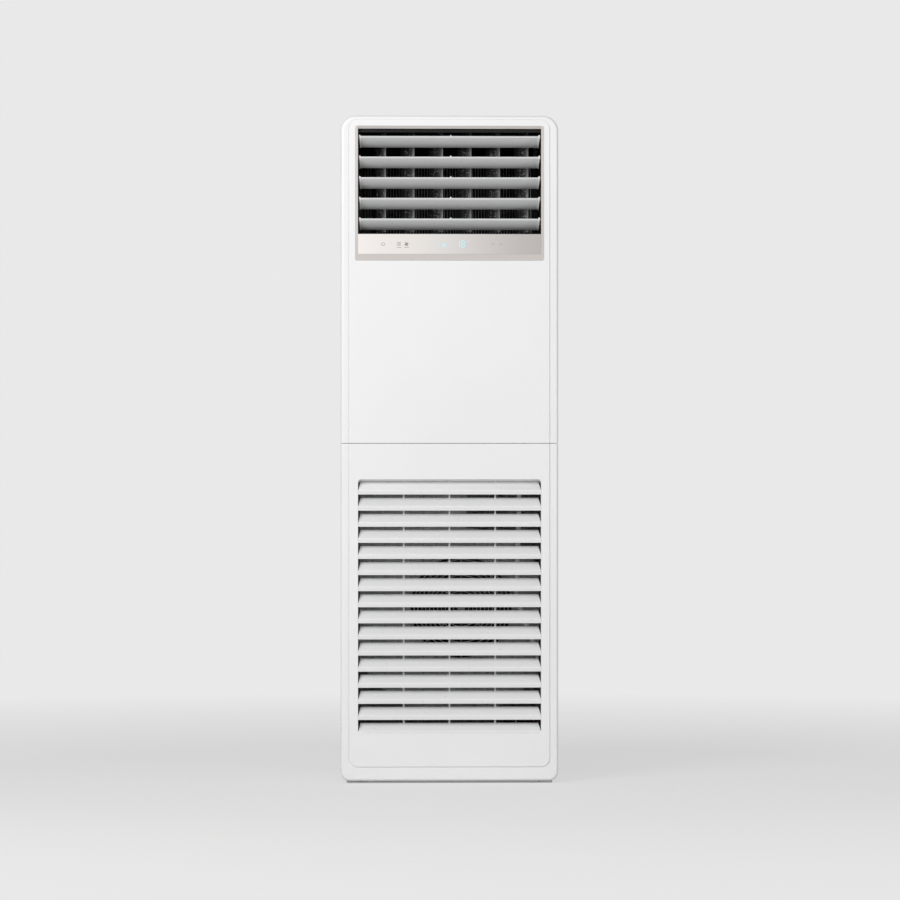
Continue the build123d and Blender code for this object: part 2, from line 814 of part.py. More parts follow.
# ================================================================ outlet vanes and their link
yaw = radians(vane_rest_yaw)
vane_way = (-sin(yaw), cos(yaw), 0)


def outlet_vane(place, name):
    foot = Plane(origin=(place, vane_axis_y, vane_bottom), x_dir=vane_way, z_dir=(0, 0, 1))
    with BuildPart() as vane:
        with BuildSketch(foot):
            with Locations(((vane_rear - vane_front) / 2, 0)):
                SlotOverall(vane_front + vane_rear, vane_thickness)
            Circle(vane_barrel_radius)
        extrude(amount=vane_top - vane_bottom)
        with BuildSketch(foot.offset(vane_top - vane_bottom)):
            Circle(vane_pin_radius)
        extrude(amount=vane_ceiling_gap + duct_wall - end_play)
        with BuildSketch(foot):
            Circle(vane_pin_radius)
        extrude(amount=-(vane_floor_gap + duct_wall - end_play))
        with BuildSketch(foot):
            with Locations((vane_crank, 0)):
                Circle(link_pin_radius)
        extrude(amount=-(vane_link_gap + link_thickness + end_play))
    write(vane.part, name)


for number, place in enumerate(vane_places, start=1):
    outlet_vane(place, f"vane_{number}")

vane_link_y = vane_axis_y + vane_crank * vane_way[1]
vane_link_shift = vane_crank * vane_way[0]
with BuildPart() as vane_link:
    with BuildSketch(Plane.XY.offset(vane_link_top - link_thickness)):
        with Locations((vane_link_shift, vane_link_y)):
            Rectangle(vane_pitch * (vane_count - 1) + link_width, link_width)
        with Locations(*[(place + vane_link_shift, vane_link_y) for place in vane_places]):
            Circle(link_pin_radius + running_clearance, mode=Mode.SUBTRACT)
    extrude(amount=link_thickness)
write(vane_link.part, "vane_link")

# Small geared motors: one beside the middle blade's end, one over a vane.
with BuildPart() as blade_motor:
    with BuildSketch(Plane.YZ.offset(duct_half_width + duct_wall)):
        with Locations((blade_axis_y, blade_heights[blade_lead])):
            Circle(stepper_radius)
    extrude(amount=stepper_length)
    with BuildSketch(Plane.YZ.offset(duct_half_width + duct_wall)):
        with Locations((blade_axis_y, blade_heights[blade_lead])):
            SlotOverall(3 * stepper_radius, stepper_radius / 2, rotation=90)
    extrude(amount=sheet)
write(blade_motor.part, "blade_motor")

with BuildPart() as vane_motor:
    with BuildSketch(Plane.XY.offset(duct_outer_top)):
        with Locations((vane_places[vane_lead], vane_axis_y)):
            Circle(stepper_radius)
    extrude(amount=stepper_length)
    with BuildSketch(Plane.XY.offset(duct_outer_top)):
        with Locations((vane_places[vane_lead], vane_axis_y)):
            SlotOverall(3 * stepper_radius, stepper_radius / 2)
    extrude(amount=sheet)
write(vane_motor.part, "vane_motor")

# ================================================================ lower front panel
lower_rim_face = rounded_face(
    half_width, lower_panel_bottom, lower_panel_top, bottom_corner_radius, 0
)
lower_hollow_face = rounded_face(
    half_width - moulded_wall,
    lower_panel_bottom + moulded_wall,
    lower_panel_top - moulded_wall,
    bottom_corner_radius - moulded_wall,
    0,
)
lower_field_bottom = plinth_height + field_bottom_inset
lower_field_face = rounded_face(
    field_half_width, lower_field_bottom, lower_panel_top, field_corner_radius, 0
)
lower_groove_face = rounded_face(
    field_half_width + groove_width,
    lower_field_bottom - groove_width,
    lower_panel_top + groove_width,
    field_corner_radius + groove_width,
    0,
)
rail_height = filter_height
rail_outer = rail_half_gap + rail_wall
with BuildPart() as lower_panel:
    with BuildSketch(facing(panel_back_y)):
        add(lower_rim_face)
    extrude(amount=panel_back_y - rim_y)
    rim_edges = lower_panel.faces().sort_by(Axis.Y)[0].edges().sort_by(Axis.Z)[:-1]
    fillet(rim_edges, edge_round)
    with BuildSketch(facing(panel_back_y)):
        add(lower_hollow_face)
    extrude(amount=panel_back_y - rim_y - moulded_wall, mode=Mode.SUBTRACT)
    with BuildSketch(facing(rim_y + groove_depth)):
        add(lower_groove_face)
        add(lower_field_face, mode=Mode.SUBTRACT)
    extrude(amount=2 * groove_depth, mode=Mode.SUBTRACT)
    with BuildSketch(facing(rim_y + groove_depth)):
        add(lower_field_face)
    extrude(amount=rim_y + groove_depth - field_y)
    field_edges = lower_panel.faces().sort_by(Axis.Y)[0].edges().sort_by(Axis.Z)[:-1]
    fillet(field_edges, field_edge_round)
    with BuildSketch(facing(panel_back_y)):
        with Locations((0, (grille_bottom + grille_top) / 2)):
            RectangleRounded(grille_width, grille_height, grille_corner_radius)
    extrude(amount=front_panel_depth, mode=Mode.SUBTRACT)
    # The heel is cut back so that it clears the base as the panel tips forward.
    with Locations((0, panel_back_y, lower_panel_bottom + heel_height / 2)):
        Box(cabinet_width, 2 * heel_relief, heel_height, mode=Mode.SUBTRACT)
    for side in (-1, 1):
        # Slot for the base pan's lug, and the ear that turns on its pin.
        with Locations((side * (hinge_lug_x + hinge_lug_thickness / 2), panel_back_y, 0)):
            Box(
                hinge_lug_thickness + 2 * end_play,
                2 * (panel_back_y - rim_y - moulded_wall - end_play),
                2 * (hinge_height + hinge_boss_radius),
                mode=Mode.SUBTRACT,
            )
        with BuildSketch(Plane.YZ.offset(side * (hinge_lug_x - end_play))):
            with Locations((hinge_y, hinge_height)):
                Circle(hinge_boss_radius)
            with Locations((hinge_y - hinge_boss_radius / 2, hinge_height)):
                Rectangle(hinge_boss_radius, 2 * hinge_boss_radius)
            with Locations((hinge_y, lower_panel_bottom + moulded_wall)):
                Rectangle(2 * hinge_boss_radius, moulded_wall)
        extrude(amount=-side * hinge_ear_thickness)
        with BuildSketch(Plane.YZ.offset(side * (hinge_lug_x - end_play))):
            with Locations((hinge_y, hinge_height)):
                Circle(hinge_pin_radius + running_clearance)
        extrude(amount=-side * hinge_ear_thickness, mode=Mode.SUBTRACT)
        # Rail that the filter slides in, hooked round its edge, with a stop under it.
        with BuildSketch(Plane.XY.offset(filter_bottom - end_play)):
            with BuildLine():
                Polyline(
                    (side * rail_outer, rim_y + moulded_wall),
                    (side * rail_outer, filter_back_y + end_play + rail_wall),
                    (side * (rail_half_gap - rail_hook), filter_back_y + end_play + rail_wall),
                    (side * (rail_half_gap - rail_hook), filter_back_y + end_play),
                    (side * rail_half_gap, filter_back_y + end_play),
                    (side * rail_half_gap, filter_front_y - end_play),
                    (side * (rail_half_gap - rail_hook), filter_front_y - end_play),
                    (side * (rail_half_gap - rail_hook), filter_front_y - end_play - rail_wall),
                    (side * rail_half_gap, filter_front_y - end_play - rail_wall),
                    (side * rail_half_gap, rim_y + moulded_wall),
                    close=True,
                )
            make_face()
        extrude(amount=rail_height)
        stop_depth = filter_back_y + end_play + rail_wall - (filter_front_y - end_play - rail_wall)
        stop_width = rail_outer - rail_half_gap + rail_hook
        with Locations(
            (
                side * (rail_outer - stop_width / 2),
                filter_back_y + end_play + rail_wall - stop_depth / 2,
                filter_bottom - end_play - rail_wall / 2,
            )
        ):
            Box(stop_width, stop_depth, rail_wall)
write(lower_panel.part, "lower_panel")

# ================================================================ intake grille
# Louvres that slope up and inwards behind a front lip, with ends that draw in towards the back.
# Three ribs hold them, and a frame behind the panel's wall, whose top wall slopes down to the
# highest louvre. The lowest lip is cut short by the opening.
lip_y = field_y + grille_recess
louvre_back_y = lip_y + louvre_depth
frame_front_y = rim_y + moulded_wall
draw_in_y = frame_front_y + 2 * grille_frame_step
with BuildPart() as grille_frame:
    for margin, mode in ((louvre_wall, Mode.ADD), (-grille_frame_step, Mode.SUBTRACT)):
        for level_y, drop in ((frame_front_y, 0), (louvre_back_y, grille_draft)):
            with BuildSketch(facing(level_y)):
                with Locations((0, (grille_bottom + grille_top - drop) / 2)):
                    RectangleRounded(
                        grille_width + 2 * margin,
                        grille_height - drop + 2 * margin,
                        grille_corner_radius + margin,
                    )
        loft(mode=mode)

with BuildPart() as louvre_room:
    for near_y, far_y, draw_in in (
        (lip_y, draw_in_y, 0),
        (draw_in_y, louvre_back_y, grille_draft),
    ):
        for level_y, inset in ((near_y, 0), (far_y, draw_in)):
            with BuildSketch(facing(level_y)):
                with Locations((0, (grille_bottom + grille_top) / 2)):
                    RectangleRounded(
                        grille_width - 2 * (seat_clearance + inset),
                        grille_height - 2 * seat_clearance,
                        grille_corner_radius - seat_clearance,
                    )
        loft()

with BuildPart() as intake_grille:
    with BuildSketch(Plane.YZ.offset(-grille_width / 2)):
        for row in range(louvre_count):
            lip_top = grille_bottom + louvre_first + row * louvre_pitch
            with BuildLine():
                Polyline(
                    (lip_y, lip_top - louvre_lip),
                    (lip_y, lip_top),
                    (louvre_back_y - louvre_wall, lip_top + louvre_rise),
                    (louvre_back_y, lip_top + louvre_rise - louvre_wall),
                    (lip_y + louvre_wall, lip_top - louvre_wall),
                    (lip_y + louvre_wall, lip_top - louvre_lip),
                    close=True,
                )
            make_face()
    extrude(amount=grille_width)
    with BuildSketch(facing(louvre_back_y)):
        with Locations((0, (grille_bottom + grille_top) / 2)):
            with GridLocations(grille_rib_pitch, 0, grille_rib_count, 1):
                Rectangle(grille_rib_width, grille_height)
    extrude(amount=2 * louvre_wall)
    add(louvre_room.part, mode=Mode.INTERSECT)
    add(grille_frame.part)
write(intake_grille.part, "intake_grille")

with BuildPart() as panel_catches:
    for side in (-1, 1):
        catch_back_y = sheet_front_y - end_play
        catch_front_y = rim_y + moulded_wall
        with Locations(
            (
                side * (sheet_half_width - front_flange / 2),
                (catch_front_y + catch_back_y) / 2,
                lower_panel_top - catch_drop,
            )
        ):
            Box(catch_width, catch_back_y - catch_front_y, catch_height)
write(panel_catches.part, "panel_catches")

# ================================================================ air filter
filter_middle = (filter_bottom + filter_top) / 2
with BuildPart() as filter_frame:
    with BuildSketch(facing(filter_back_y)):
        with Locations((0, filter_middle)):
            Rectangle(filter_width, filter_height)
            Rectangle(
                filter_width - 2 * filter_bar, filter_height - 2 * filter_bar, mode=Mode.SUBTRACT
            )
    extrude(amount=filter_thickness)
    net_y = (filter_front_y + filter_back_y) / 2
    with BuildSketch(facing(net_y + 3 * net_thickness)):
        with Locations((0, filter_middle)):
            with GridLocations(grille_rib_pitch, 0, grille_rib_count, 1):
                Rectangle(filter_bar / 2, filter_height - filter_bar)
            with GridLocations(0, filter_height / 4, 1, 3):
                Rectangle(filter_width - filter_bar, filter_bar / 2)
    extrude(amount=2 * net_thickness)
write(filter_frame.part, "filter_frame")

with BuildPart() as filter_net:
    with BuildSketch(facing(net_y + net_thickness)):
        net_width = filter_width - 2 * filter_bar - 2 * seat_clearance
        net_height = filter_height - 2 * filter_bar - 2 * seat_clearance
        column_pitch = (net_width - net_strand) / net_columns
        row_pitch = (net_height - net_strand) / net_rows
        with Locations((0, filter_middle)):
            Rectangle(net_width, net_height)
            with GridLocations(column_pitch, row_pitch, net_columns, net_rows):
                Rectangle(
                    column_pitch - net_strand, row_pitch - net_strand, mode=Mode.SUBTRACT
                )
    extrude(amount=net_thickness)
write(filter_net.part, "filter_net")

# ================================================================ blower housing
# The scroll opens out in three arcs from the cut-off, round the wheel, to the upright outlet.
with BuildSketch() as scroll_face:
    with BuildLine():
        Polyline(
            (cut_off_x, scroll_top),
            (cut_off_x, deck_height + edge_round),
            (scroll_left, deck_height + edge_round),
            (scroll_left, third_centre_height),
        )
        CenterArc((second_centre_x, third_centre_height), third_radius, 180, 90)
        CenterArc((second_centre_x, scroll_mid), second_radius, 270, 90)
        CenterArc((cut_off_x, scroll_mid), scroll_radius, 0, 90)
    make_face()
with BuildSketch() as scroll_outside:
    add(scroll_face.sketch)
    offset(amount=sheet)
with BuildSketch() as scroll_flange:
    add(scroll_face.sketch)
    offset(amount=plate_flange)

with BuildPart() as blower_housing:
    with BuildSketch(facing(housing_back_y + sheet)):
        add(scroll_outside.sketch)
        with Locations((wheel_x, wheel_height)):
            Circle(2 * shaft_radius, mode=Mode.SUBTRACT)
    extrude(amount=housing_length + sheet)
    with BuildSketch(facing(housing_back_y)):
        add(scroll_face.sketch)
    extrude(amount=housing_length, mode=Mode.SUBTRACT)
    with Locations((0, 0, deck_height + cabinet_height / 2)):
        Box(cabinet_width, cabinet_depth, cabinet_height, mode=Mode.SUBTRACT)
write(blower_housing.part, "blower_housing")

with BuildPart() as blower_front_plate:
    with BuildSketch(facing(housing_front_y)):
        add(scroll_flange.sketch)
        with Locations((wheel_x, wheel_height)):
            Circle(bellmouth_radius + sheet + seat_clearance, mode=Mode.SUBTRACT)
        with Locations((0, deck_height + cabinet_height / 2)):
            Rectangle(cabinet_width, cabinet_height, mode=Mode.SUBTRACT)
    extrude(amount=sheet)
write(blower_front_plate.part, "blower_front_plate")

# A flared ring that leads the air into the wheel.
bell_outer = bellmouth_radius + sheet
plate_front_y = housing_front_y - sheet
with BuildPart() as inlet_bellmouth:
    with BuildSketch(Plane.XY.offset(wheel_height)):
        with BuildLine():
            Polyline(
                (wheel_x + bellmouth_radius, housing_front_y + bellmouth_reach),
                (wheel_x + bell_outer, housing_front_y + bellmouth_reach),
                (wheel_x + bell_outer, plate_front_y),
                (wheel_x + bell_outer + edge_round, plate_front_y),
                (wheel_x + bell_outer + edge_round, plate_front_y - sheet),
                (wheel_x + bellmouth_radius + sheet, plate_front_y - sheet),
                (wheel_x + bellmouth_radius, plate_front_y + sheet),
                close=True,
            )
        make_face()
    revolve(axis=Axis((wheel_x, 0, wheel_height), (0, 1, 0)))
write(inlet_bellmouth.part, "inlet_bellmouth")

# Flat wire rings round the inlet, tied by spokes, on a rim that stands on the front plate.
guard_back_y = plate_front_y - guard_stand
guard_outer = guard_radius + guard_wire / 2
with BuildPart() as inlet_guard:
    with BuildSketch(facing(guard_back_y)):
        with Locations((wheel_x, wheel_height)):
            Circle(guard_outer)
            for ring in reversed(range(guard_rings)):
                ring_radius = guard_first_radius + ring * guard_ring_pitch
                Circle(ring_radius - guard_wire / 2, mode=Mode.SUBTRACT)
                Circle(max(ring_radius - guard_ring_pitch, guard_wire) + guard_wire / 2)
            for spoke in range(guard_spokes):
                Rectangle(
                    2 * guard_radius, guard_wire, rotation=spoke * 180 / guard_spokes
                )
    extrude(amount=guard_wire)
    with BuildSketch(facing(plate_front_y)):
        with Locations((wheel_x, wheel_height)):
            Circle(guard_outer)
            Circle(guard_outer - guard_wire, mode=Mode.SUBTRACT)
    extrude(amount=guard_stand)
write(inlet_guard.part, "inlet_guard")

# ================================================================ fan wheel, shaft and motor
wheel_blade_length = wheel_radius - wheel_inner_radius
with BuildPart() as fan_wheel:
    with BuildSketch(facing(wheel_back_y)):
        with Locations((wheel_x, wheel_height)):
            Circle(wheel_radius)
            Circle(shaft_radius, mode=Mode.SUBTRACT)
    extrude(amount=wheel_disc)
    with BuildSketch(facing(wheel_back_y - wheel_disc)):
        with Locations((wheel_x, wheel_height)):
            Circle(wheel_hub_radius)
            Circle(shaft_radius, mode=Mode.SUBTRACT)
    extrude(amount=wheel_hub_length)
    with BuildSketch(facing(wheel_back_y - wheel_disc)):
        with Locations((wheel_x, wheel_height)):
            with PolarLocations((wheel_radius + wheel_inner_radius) / 2, wheel_blades):
                Rectangle(wheel_blade_length, wheel_blade_thickness, rotation=40)
    extrude(amount=wheel_back_y - wheel_disc - wheel_front_y)
    with BuildSketch(facing(wheel_front_y + wheel_ring)):
        with Locations((wheel_x, wheel_height)):
            Circle(wheel_radius)
            Circle(wheel_radius - wheel_ring - wheel_blade_length / 4, mode=Mode.SUBTRACT)
    extrude(amount=wheel_ring)
write(fan_wheel.part, "fan_wheel")

shaft_end_y = motor_front_y + motor_length / 2
with BuildPart() as motor_shaft:
    with BuildSketch(facing(shaft_end_y)):
        with Locations((wheel_x, wheel_height)):
            Circle(shaft_radius)
    extrude(amount=shaft_end_y - (wheel_back_y - wheel_disc - wheel_hub_length - shaft_radius))
    chamfer(motor_shaft.faces().sort_by(Axis.Y)[0].edges(), shaft_radius / 8)
write(motor_shaft.part, "motor_shaft")

bracket_y = motor_front_y + motor_stand
with BuildPart() as fan_motor:
    with BuildSketch(facing(motor_front_y + motor_length)):
        with Locations((wheel_x, wheel_height)):
            Circle(motor_radius)
    extrude(amount=motor_length)
    fillet(fan_motor.faces().sort_by(Axis.Y)[-1].edges(), edge_round)
    with BuildSketch(facing(bracket_y + sheet + motor_flange)):
        with Locations((wheel_x, wheel_height)):
            Circle(motor_flange_radius)
    extrude(amount=motor_flange)
    with BuildSketch(facing(shaft_end_y + end_play)):
        with Locations((wheel_x, wheel_height)):
            Circle(shaft_radius + running_clearance)
    extrude(amount=motor_length, mode=Mode.SUBTRACT)
write(fan_motor.part, "fan_motor")

# The bracket is a ring behind the housing, on four legs that stand on the housing's back.
with BuildPart() as motor_bracket:
    with BuildSketch(facing(bracket_y + sheet)):
        with Locations((wheel_x, wheel_height)):
            Circle(motor_bracket_radius)
            Circle(motor_radius + seat_clearance, mode=Mode.SUBTRACT)
    extrude(amount=sheet)
    with BuildSketch(facing(bracket_y)):
        with Locations((wheel_x, wheel_height)):
            with PolarLocations((motor_bracket_radius + motor_flange_radius) / 2, 4, start_angle=45):
                Circle(motor_leg / 2)
    extrude(amount=bracket_y - housing_back_y - sheet)
write(motor_bracket.part, "motor_bracket")

# ================================================================ deck, partition and drain pan
pipe_hole_x = coil_half_width + 2 * end_plate + tube_spacing + gas_pipe_radius
pipe_run_y = housing_back_y + tube_spacing
liquid_run_y = pipe_run_y + tube_spacing
spout_y = (deck_front_y + sheet + plate_front_y) / 2
deck_back_y = sheet_rear_y - sheet
with BuildPart() as mid_deck:
    with BuildSketch(Plane.XY.offset(deck_height)):
        with Locations((0, (deck_front_y + deck_back_y) / 2)):
            Rectangle(2 * inner_half_width, deck_back_y - deck_front_y)
        with Locations(((scroll_left + outlet_right) / 2, (housing_front_y + housing_back_y) / 2)):
            Rectangle(outlet_width, housing_length, mode=Mode.SUBTRACT)
        with Locations((pipe_hole_x, (pipe_run_y + liquid_run_y) / 2)):
            SlotOverall(
                2 * tube_spacing + 2 * gas_pipe_radius,
                2 * (gas_pipe_radius + end_play),
                rotation=90,
                mode=Mode.SUBTRACT,
            )
        with Locations((hose_x, spout_y)):
            Circle(hose_radius + end_play, mode=Mode.SUBTRACT)
    extrude(amount=sheet)
write(mid_deck.part, "mid_deck")

with BuildPart() as front_partition:
    with BuildSketch(facing(deck_front_y + sheet)):
        with Locations((0, (deck_top + duct_outer_bottom) / 2)):
            Rectangle(2 * inner_half_width, duct_outer_bottom - deck_top)
    extrude(amount=sheet)
write(front_partition.part, "front_partition")

pan_back_y = pan_front_y + pan_length
with BuildPart() as drain_pan:
    with BuildSketch(Plane.XY.offset(deck_top)):
        with Locations((0, (pan_front_y + pan_back_y) / 2)):
            Rectangle(2 * pan_half_width, pan_length)
    extrude(amount=pan_depth)
    with BuildSketch(Plane.XY.offset(deck_top + pan_wall)):
        with Locations((0, (pan_front_y + pan_back_y) / 2)):
            Rectangle(2 * (pan_half_width - pan_wall), pan_length - 2 * pan_wall)
    extrude(amount=pan_depth, mode=Mode.SUBTRACT)
    with BuildSketch(Plane.XY.offset(deck_top)):
        with Locations((hose_x, spout_y)):
            Circle(hose_bore_radius, mode=Mode.ADD)
    extrude(amount=-tube_spacing)
    with BuildSketch(Plane.XY.offset(deck_top + pan_wall)):
        with Locations((hose_x, spout_y)):
            Circle(hose_bore_radius - sheet)
    extrude(amount=-cabinet_depth, mode=Mode.SUBTRACT)
write(drain_pan.part, "drain_pan")

# ================================================================ evaporator coil
# The coil leans back; its profile is drawn across the slant and drawn out along it.
fin_count = int(coil_width // fin_pitch)
with BuildPart() as evaporator_fins:
    with BuildSketch(coil_foot):
        with Locations((0, coil_thickness / 2)):
            Rectangle(coil_width, coil_thickness)
        with Locations((0, fin_groove / 2)):
            with GridLocations(fin_pitch, 0, fin_count - 1, 1):
                Rectangle(fin_gap, fin_groove, mode=Mode.SUBTRACT)
    extrude(amount=coil_length)
write(evaporator_fins.part, "evaporator_fins")

coil_top_front = coil_foot.from_local_coords(Vector(0, 0, coil_length))
coil_top_back = coil_foot.from_local_coords(Vector(0, coil_thickness, coil_length))
coil_low_back = coil_foot.from_local_coords(Vector(0, coil_thickness, 0))
# Each end plate turns outwards along its front edge and closes the view past the coil.
end_flange_reach = duct_half_width + duct_wall - coil_half_width
with BuildPart() as coil_end_plates:
    for side in (-1, 1):
        with BuildSketch(Plane.YZ.offset(side * coil_half_width)):
            with BuildLine():
                Polyline(
                    (coil_front_y, coil_bottom_height),
                    (coil_top_front.Y, coil_top_front.Z),
                    (coil_top_back.Y, coil_top_back.Z),
                    (coil_low_back.Y, coil_low_back.Z),
                    (coil_low_back.Y, deck_top + pan_wall),
                    (coil_front_y, deck_top + pan_wall),
                    close=True,
                )
            make_face()
        extrude(amount=side * end_plate)
        with BuildSketch(coil_foot):
            with Locations((side * (coil_half_width + end_flange_reach / 2), end_plate / 2)):
                Rectangle(end_flange_reach, end_plate)
        extrude(amount=coil_length)
write(coil_end_plates.part, "coil_end_plates")

# One return bend, drawn with its legs on the YZ plane and curving to +X, then set at every pair of
# tube ends on both sides of the coil.
with BuildPart() as return_bend:
    with BuildSketch(Plane.YZ):
        with Locations((0, tube_spacing / 2)):
            Circle(tube_radius)
    revolve(axis=Axis.Y, revolution_arc=180)
bend_pitch = coil_length / bends_per_row
bend_places = [
    Plane(
        origin=coil_foot.from_local_coords(
            Vector(side * (coil_half_width + end_plate), row, (step + 0.5) * bend_pitch)
        ),
        x_dir=(side, 0, 0),
        z_dir=coil_up,
    ).location
    for side in (-1, 1)
    for row in bend_rows
    for step in range(bends_per_row)
]
with BuildPart() as coil_return_bends:
    with Locations(*bend_places):
        add(return_bend.part)
write(coil_return_bends.part, "coil_return_bends")

# Gas header down the coil's right end, then back, down and out to the port; the liquid line beside it.
header_x = pipe_hole_x
row_middle = coil_thickness / 2
header_top = coil_foot.from_local_coords(Vector(0, row_middle, coil_length - 2 * bend_pitch))
header_foot = coil_foot.from_local_coords(Vector(0, row_middle, bend_pitch / 2))
liquid_top = coil_foot.from_local_coords(Vector(0, row_middle, coil_length - bend_pitch / 2))
stub_start_x = coil_half_width + end_plate
stub_steps = [3 * bend_pitch, 6 * bend_pitch, 9 * bend_pitch]
port_side = tube_spacing / 2
pipe_end_y = sheet_rear_y - grommet_lip - flare_nut_length
gas_end_x = pipe_port_x - port_side
liquid_end_x = pipe_port_x + port_side
gas_route = [
    (header_x, header_top.Y, header_top.Z),
    (header_x, header_foot.Y, header_foot.Z),
    (header_x, pipe_run_y, deck_top + 2 * tube_spacing),
    (header_x, pipe_run_y, pipe_port_height + tube_spacing),
    (gas_end_x, pipe_run_y + port_side, pipe_port_height),
    (gas_end_x, pipe_end_y, pipe_port_height),
]
liquid_route = [
    (stub_start_x, liquid_top.Y, liquid_top.Z),
    (header_x, liquid_top.Y, liquid_top.Z),
    (header_x, liquid_run_y, liquid_top.Z - 2 * tube_spacing),
    (header_x, liquid_run_y, pipe_port_height + 2 * tube_spacing),
    (liquid_end_x, liquid_run_y + port_side, pipe_port_height),
    (liquid_end_x, pipe_end_y, pipe_port_height),
]
with BuildPart() as refrigerant_pipes:
    for route, tube in ((gas_route, gas_pipe_radius), (liquid_route, liquid_pipe_radius)):
        with BuildLine() as run:
            FilletPolyline(*route, radius=tube_spacing * 0.9)
        with BuildSketch(Plane(origin=run.line @ 0, z_dir=run.line % 0)):
            Circle(tube)
        sweep(path=run.line)
    # Stubs that join the header to the coil's end.
    for step in stub_steps:
        stub = coil_foot.from_local_coords(Vector(stub_start_x, row_middle, step))
        with BuildSketch(Plane(origin=stub, z_dir=(1, 0, 0))):
            Circle(liquid_pipe_radius * 0.8)
        extrude(amount=header_x - stub_start_x)
write(refrigerant_pipes.part, "refrigerant_pipes")

with BuildPart() as flare_nuts:
    for end_x, tube in ((gas_end_x, gas_pipe_radius), (liquid_end_x, liquid_pipe_radius)):
        with BuildSketch(facing(pipe_end_y + flare_nut_length)):
            with Locations((end_x, pipe_port_height)):
                RegularPolygon(tube + 2 * sheet, 6)
                Circle(tube / 2, mode=Mode.SUBTRACT)
        extrude(amount=flare_nut_length)
write(flare_nuts.part, "flare_nuts")

# The drain hose hangs from the pan's spout in front of the blower plate, bends round the scroll and
# runs back along the base to the pipe port.
hose_front_y = filter_back_y + hose_front_gap + hose_radius
hose_corner_x = inner_half_width - 3 * hose_radius
hose_port_height = pipe_port_height - pipe_port_radius / 2 - hose_radius
hose_route = [
    (hose_x, spout_y, deck_height - end_play),
    (hose_x, spout_y, deck_height - 2 * tube_spacing),
    (hose_x, hose_front_y, deck_height - 5 * tube_spacing),
    (hose_x - hose_lean, hose_front_y, wheel_height + tube_spacing),
    (hose_x + 2 * tube_spacing, hose_front_y, wheel_height - 5 * tube_spacing),
    (hose_corner_x, spout_y, scroll_bottom + tube_spacing),
    (hose_corner_x, housing_front_y + tube_spacing, scroll_bottom - 3 * tube_spacing),
    (hose_corner_x, housing_back_y, 2 * tube_spacing),
    (pipe_port_x, pipe_end_y - 2 * tube_spacing, hose_port_height),
    (pipe_port_x, sheet_rear_y - grommet_lip, hose_port_height),
]
with BuildPart() as drain_hose:
    with BuildLine() as run:
        FilletPolyline(*hose_route, radius=tube_spacing)
    with BuildSketch(Plane(origin=run.line @ 0, z_dir=run.line % 0)):
        Circle(hose_radius)
        Circle(hose_bore_radius + running_clearance, mode=Mode.SUBTRACT)
    sweep(path=run.line)
write(drain_hose.part, "drain_hose")

# ================================================================ control box and what is in it
box_back_y = deck_front_y
box_front_y = box_back_y - box_depth
box_bottom = split_height + box_rise
box_height = bezel_bottom - box_head_gap - box_bottom
box_middle = box_bottom + box_height / 2
with BuildPart() as control_box:
    with BuildSketch(facing(box_back_y)):
        with Locations((0, box_middle)):
            Rectangle(box_width, box_height)
    extrude(amount=box_depth)
    with BuildSketch(facing(box_back_y - sheet)):
        with Locations((0, box_middle)):
            Rectangle(box_width - 2 * sheet, box_height - 2 * sheet)
    extrude(amount=box_depth, mode=Mode.SUBTRACT)
write(control_box.part, "control_box")

with BuildPart() as control_box_cover:
    with BuildSketch(facing(box_front_y)):
        with Locations((0, box_middle)):
            RectangleRounded(box_width + 2 * sheet, box_height + 2 * sheet, 2 * sheet)
    extrude(amount=sheet)
write(control_box_cover.part, "control_box_cover")

board_back_y = box_back_y - sheet - board_stand
board_width = box_width - 4 * board_stand
board_height = box_height / 2
board_middle = box_bottom + box_height - board_height / 2 - 2 * board_stand
with BuildPart() as main_board:
    with BuildSketch(facing(board_back_y)):
        with Locations((0, board_middle)):
            Rectangle(board_width, board_height)
    extrude(amount=board_thickness)
    with BuildSketch(facing(box_back_y - sheet)):
        with Locations((0, board_middle)):
            with GridLocations(board_width - 2 * board_stand, board_height - 2 * board_stand, 2, 2):
                Circle(board_stand / 2)
    extrude(amount=board_stand)
    with BuildSketch(facing(board_back_y - board_thickness)):
        with Locations((0, board_middle)):
            with GridLocations(board_width / 4, board_height / 3, 3, 2):
                Rectangle(board_width / 8, board_height / 6)
    extrude(amount=board_stand)
write(main_board.part, "main_board")

low_middle = (box_bottom + board_middle - board_height / 2) / 2
with BuildPart() as fan_capacitor:
    with BuildSketch(Plane.YZ.offset(capacitor_x - capacitor_length / 2)):
        with Locations((box_back_y - sheet - capacitor_radius, low_middle)):
            Circle(capacitor_radius)
        with Locations((box_back_y - sheet - capacitor_radius / 4, low_middle)):
            Rectangle(capacitor_radius / 2, capacitor_radius)
    extrude(amount=capacitor_length)
write(fan_capacitor.part, "fan_capacitor")

with BuildPart() as terminal_block:
    with BuildSketch(facing(box_back_y - sheet)):
        with Locations((-capacitor_x, low_middle)):
            Rectangle(terminal_width, terminal_height)
    extrude(amount=terminal_depth)
    with BuildSketch(facing(box_back_y - sheet - terminal_depth)):
        with Locations((-capacitor_x, low_middle)):
            with GridLocations(terminal_width / 6, 0, 5, 1):
                Circle(terminal_width / 20)
    extrude(amount=-terminal_depth / 3, mode=Mode.SUBTRACT)
write(terminal_block.part, "terminal_block")
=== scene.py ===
import json
import math

import bmesh
import bpy
from mathutils import Matrix, Vector


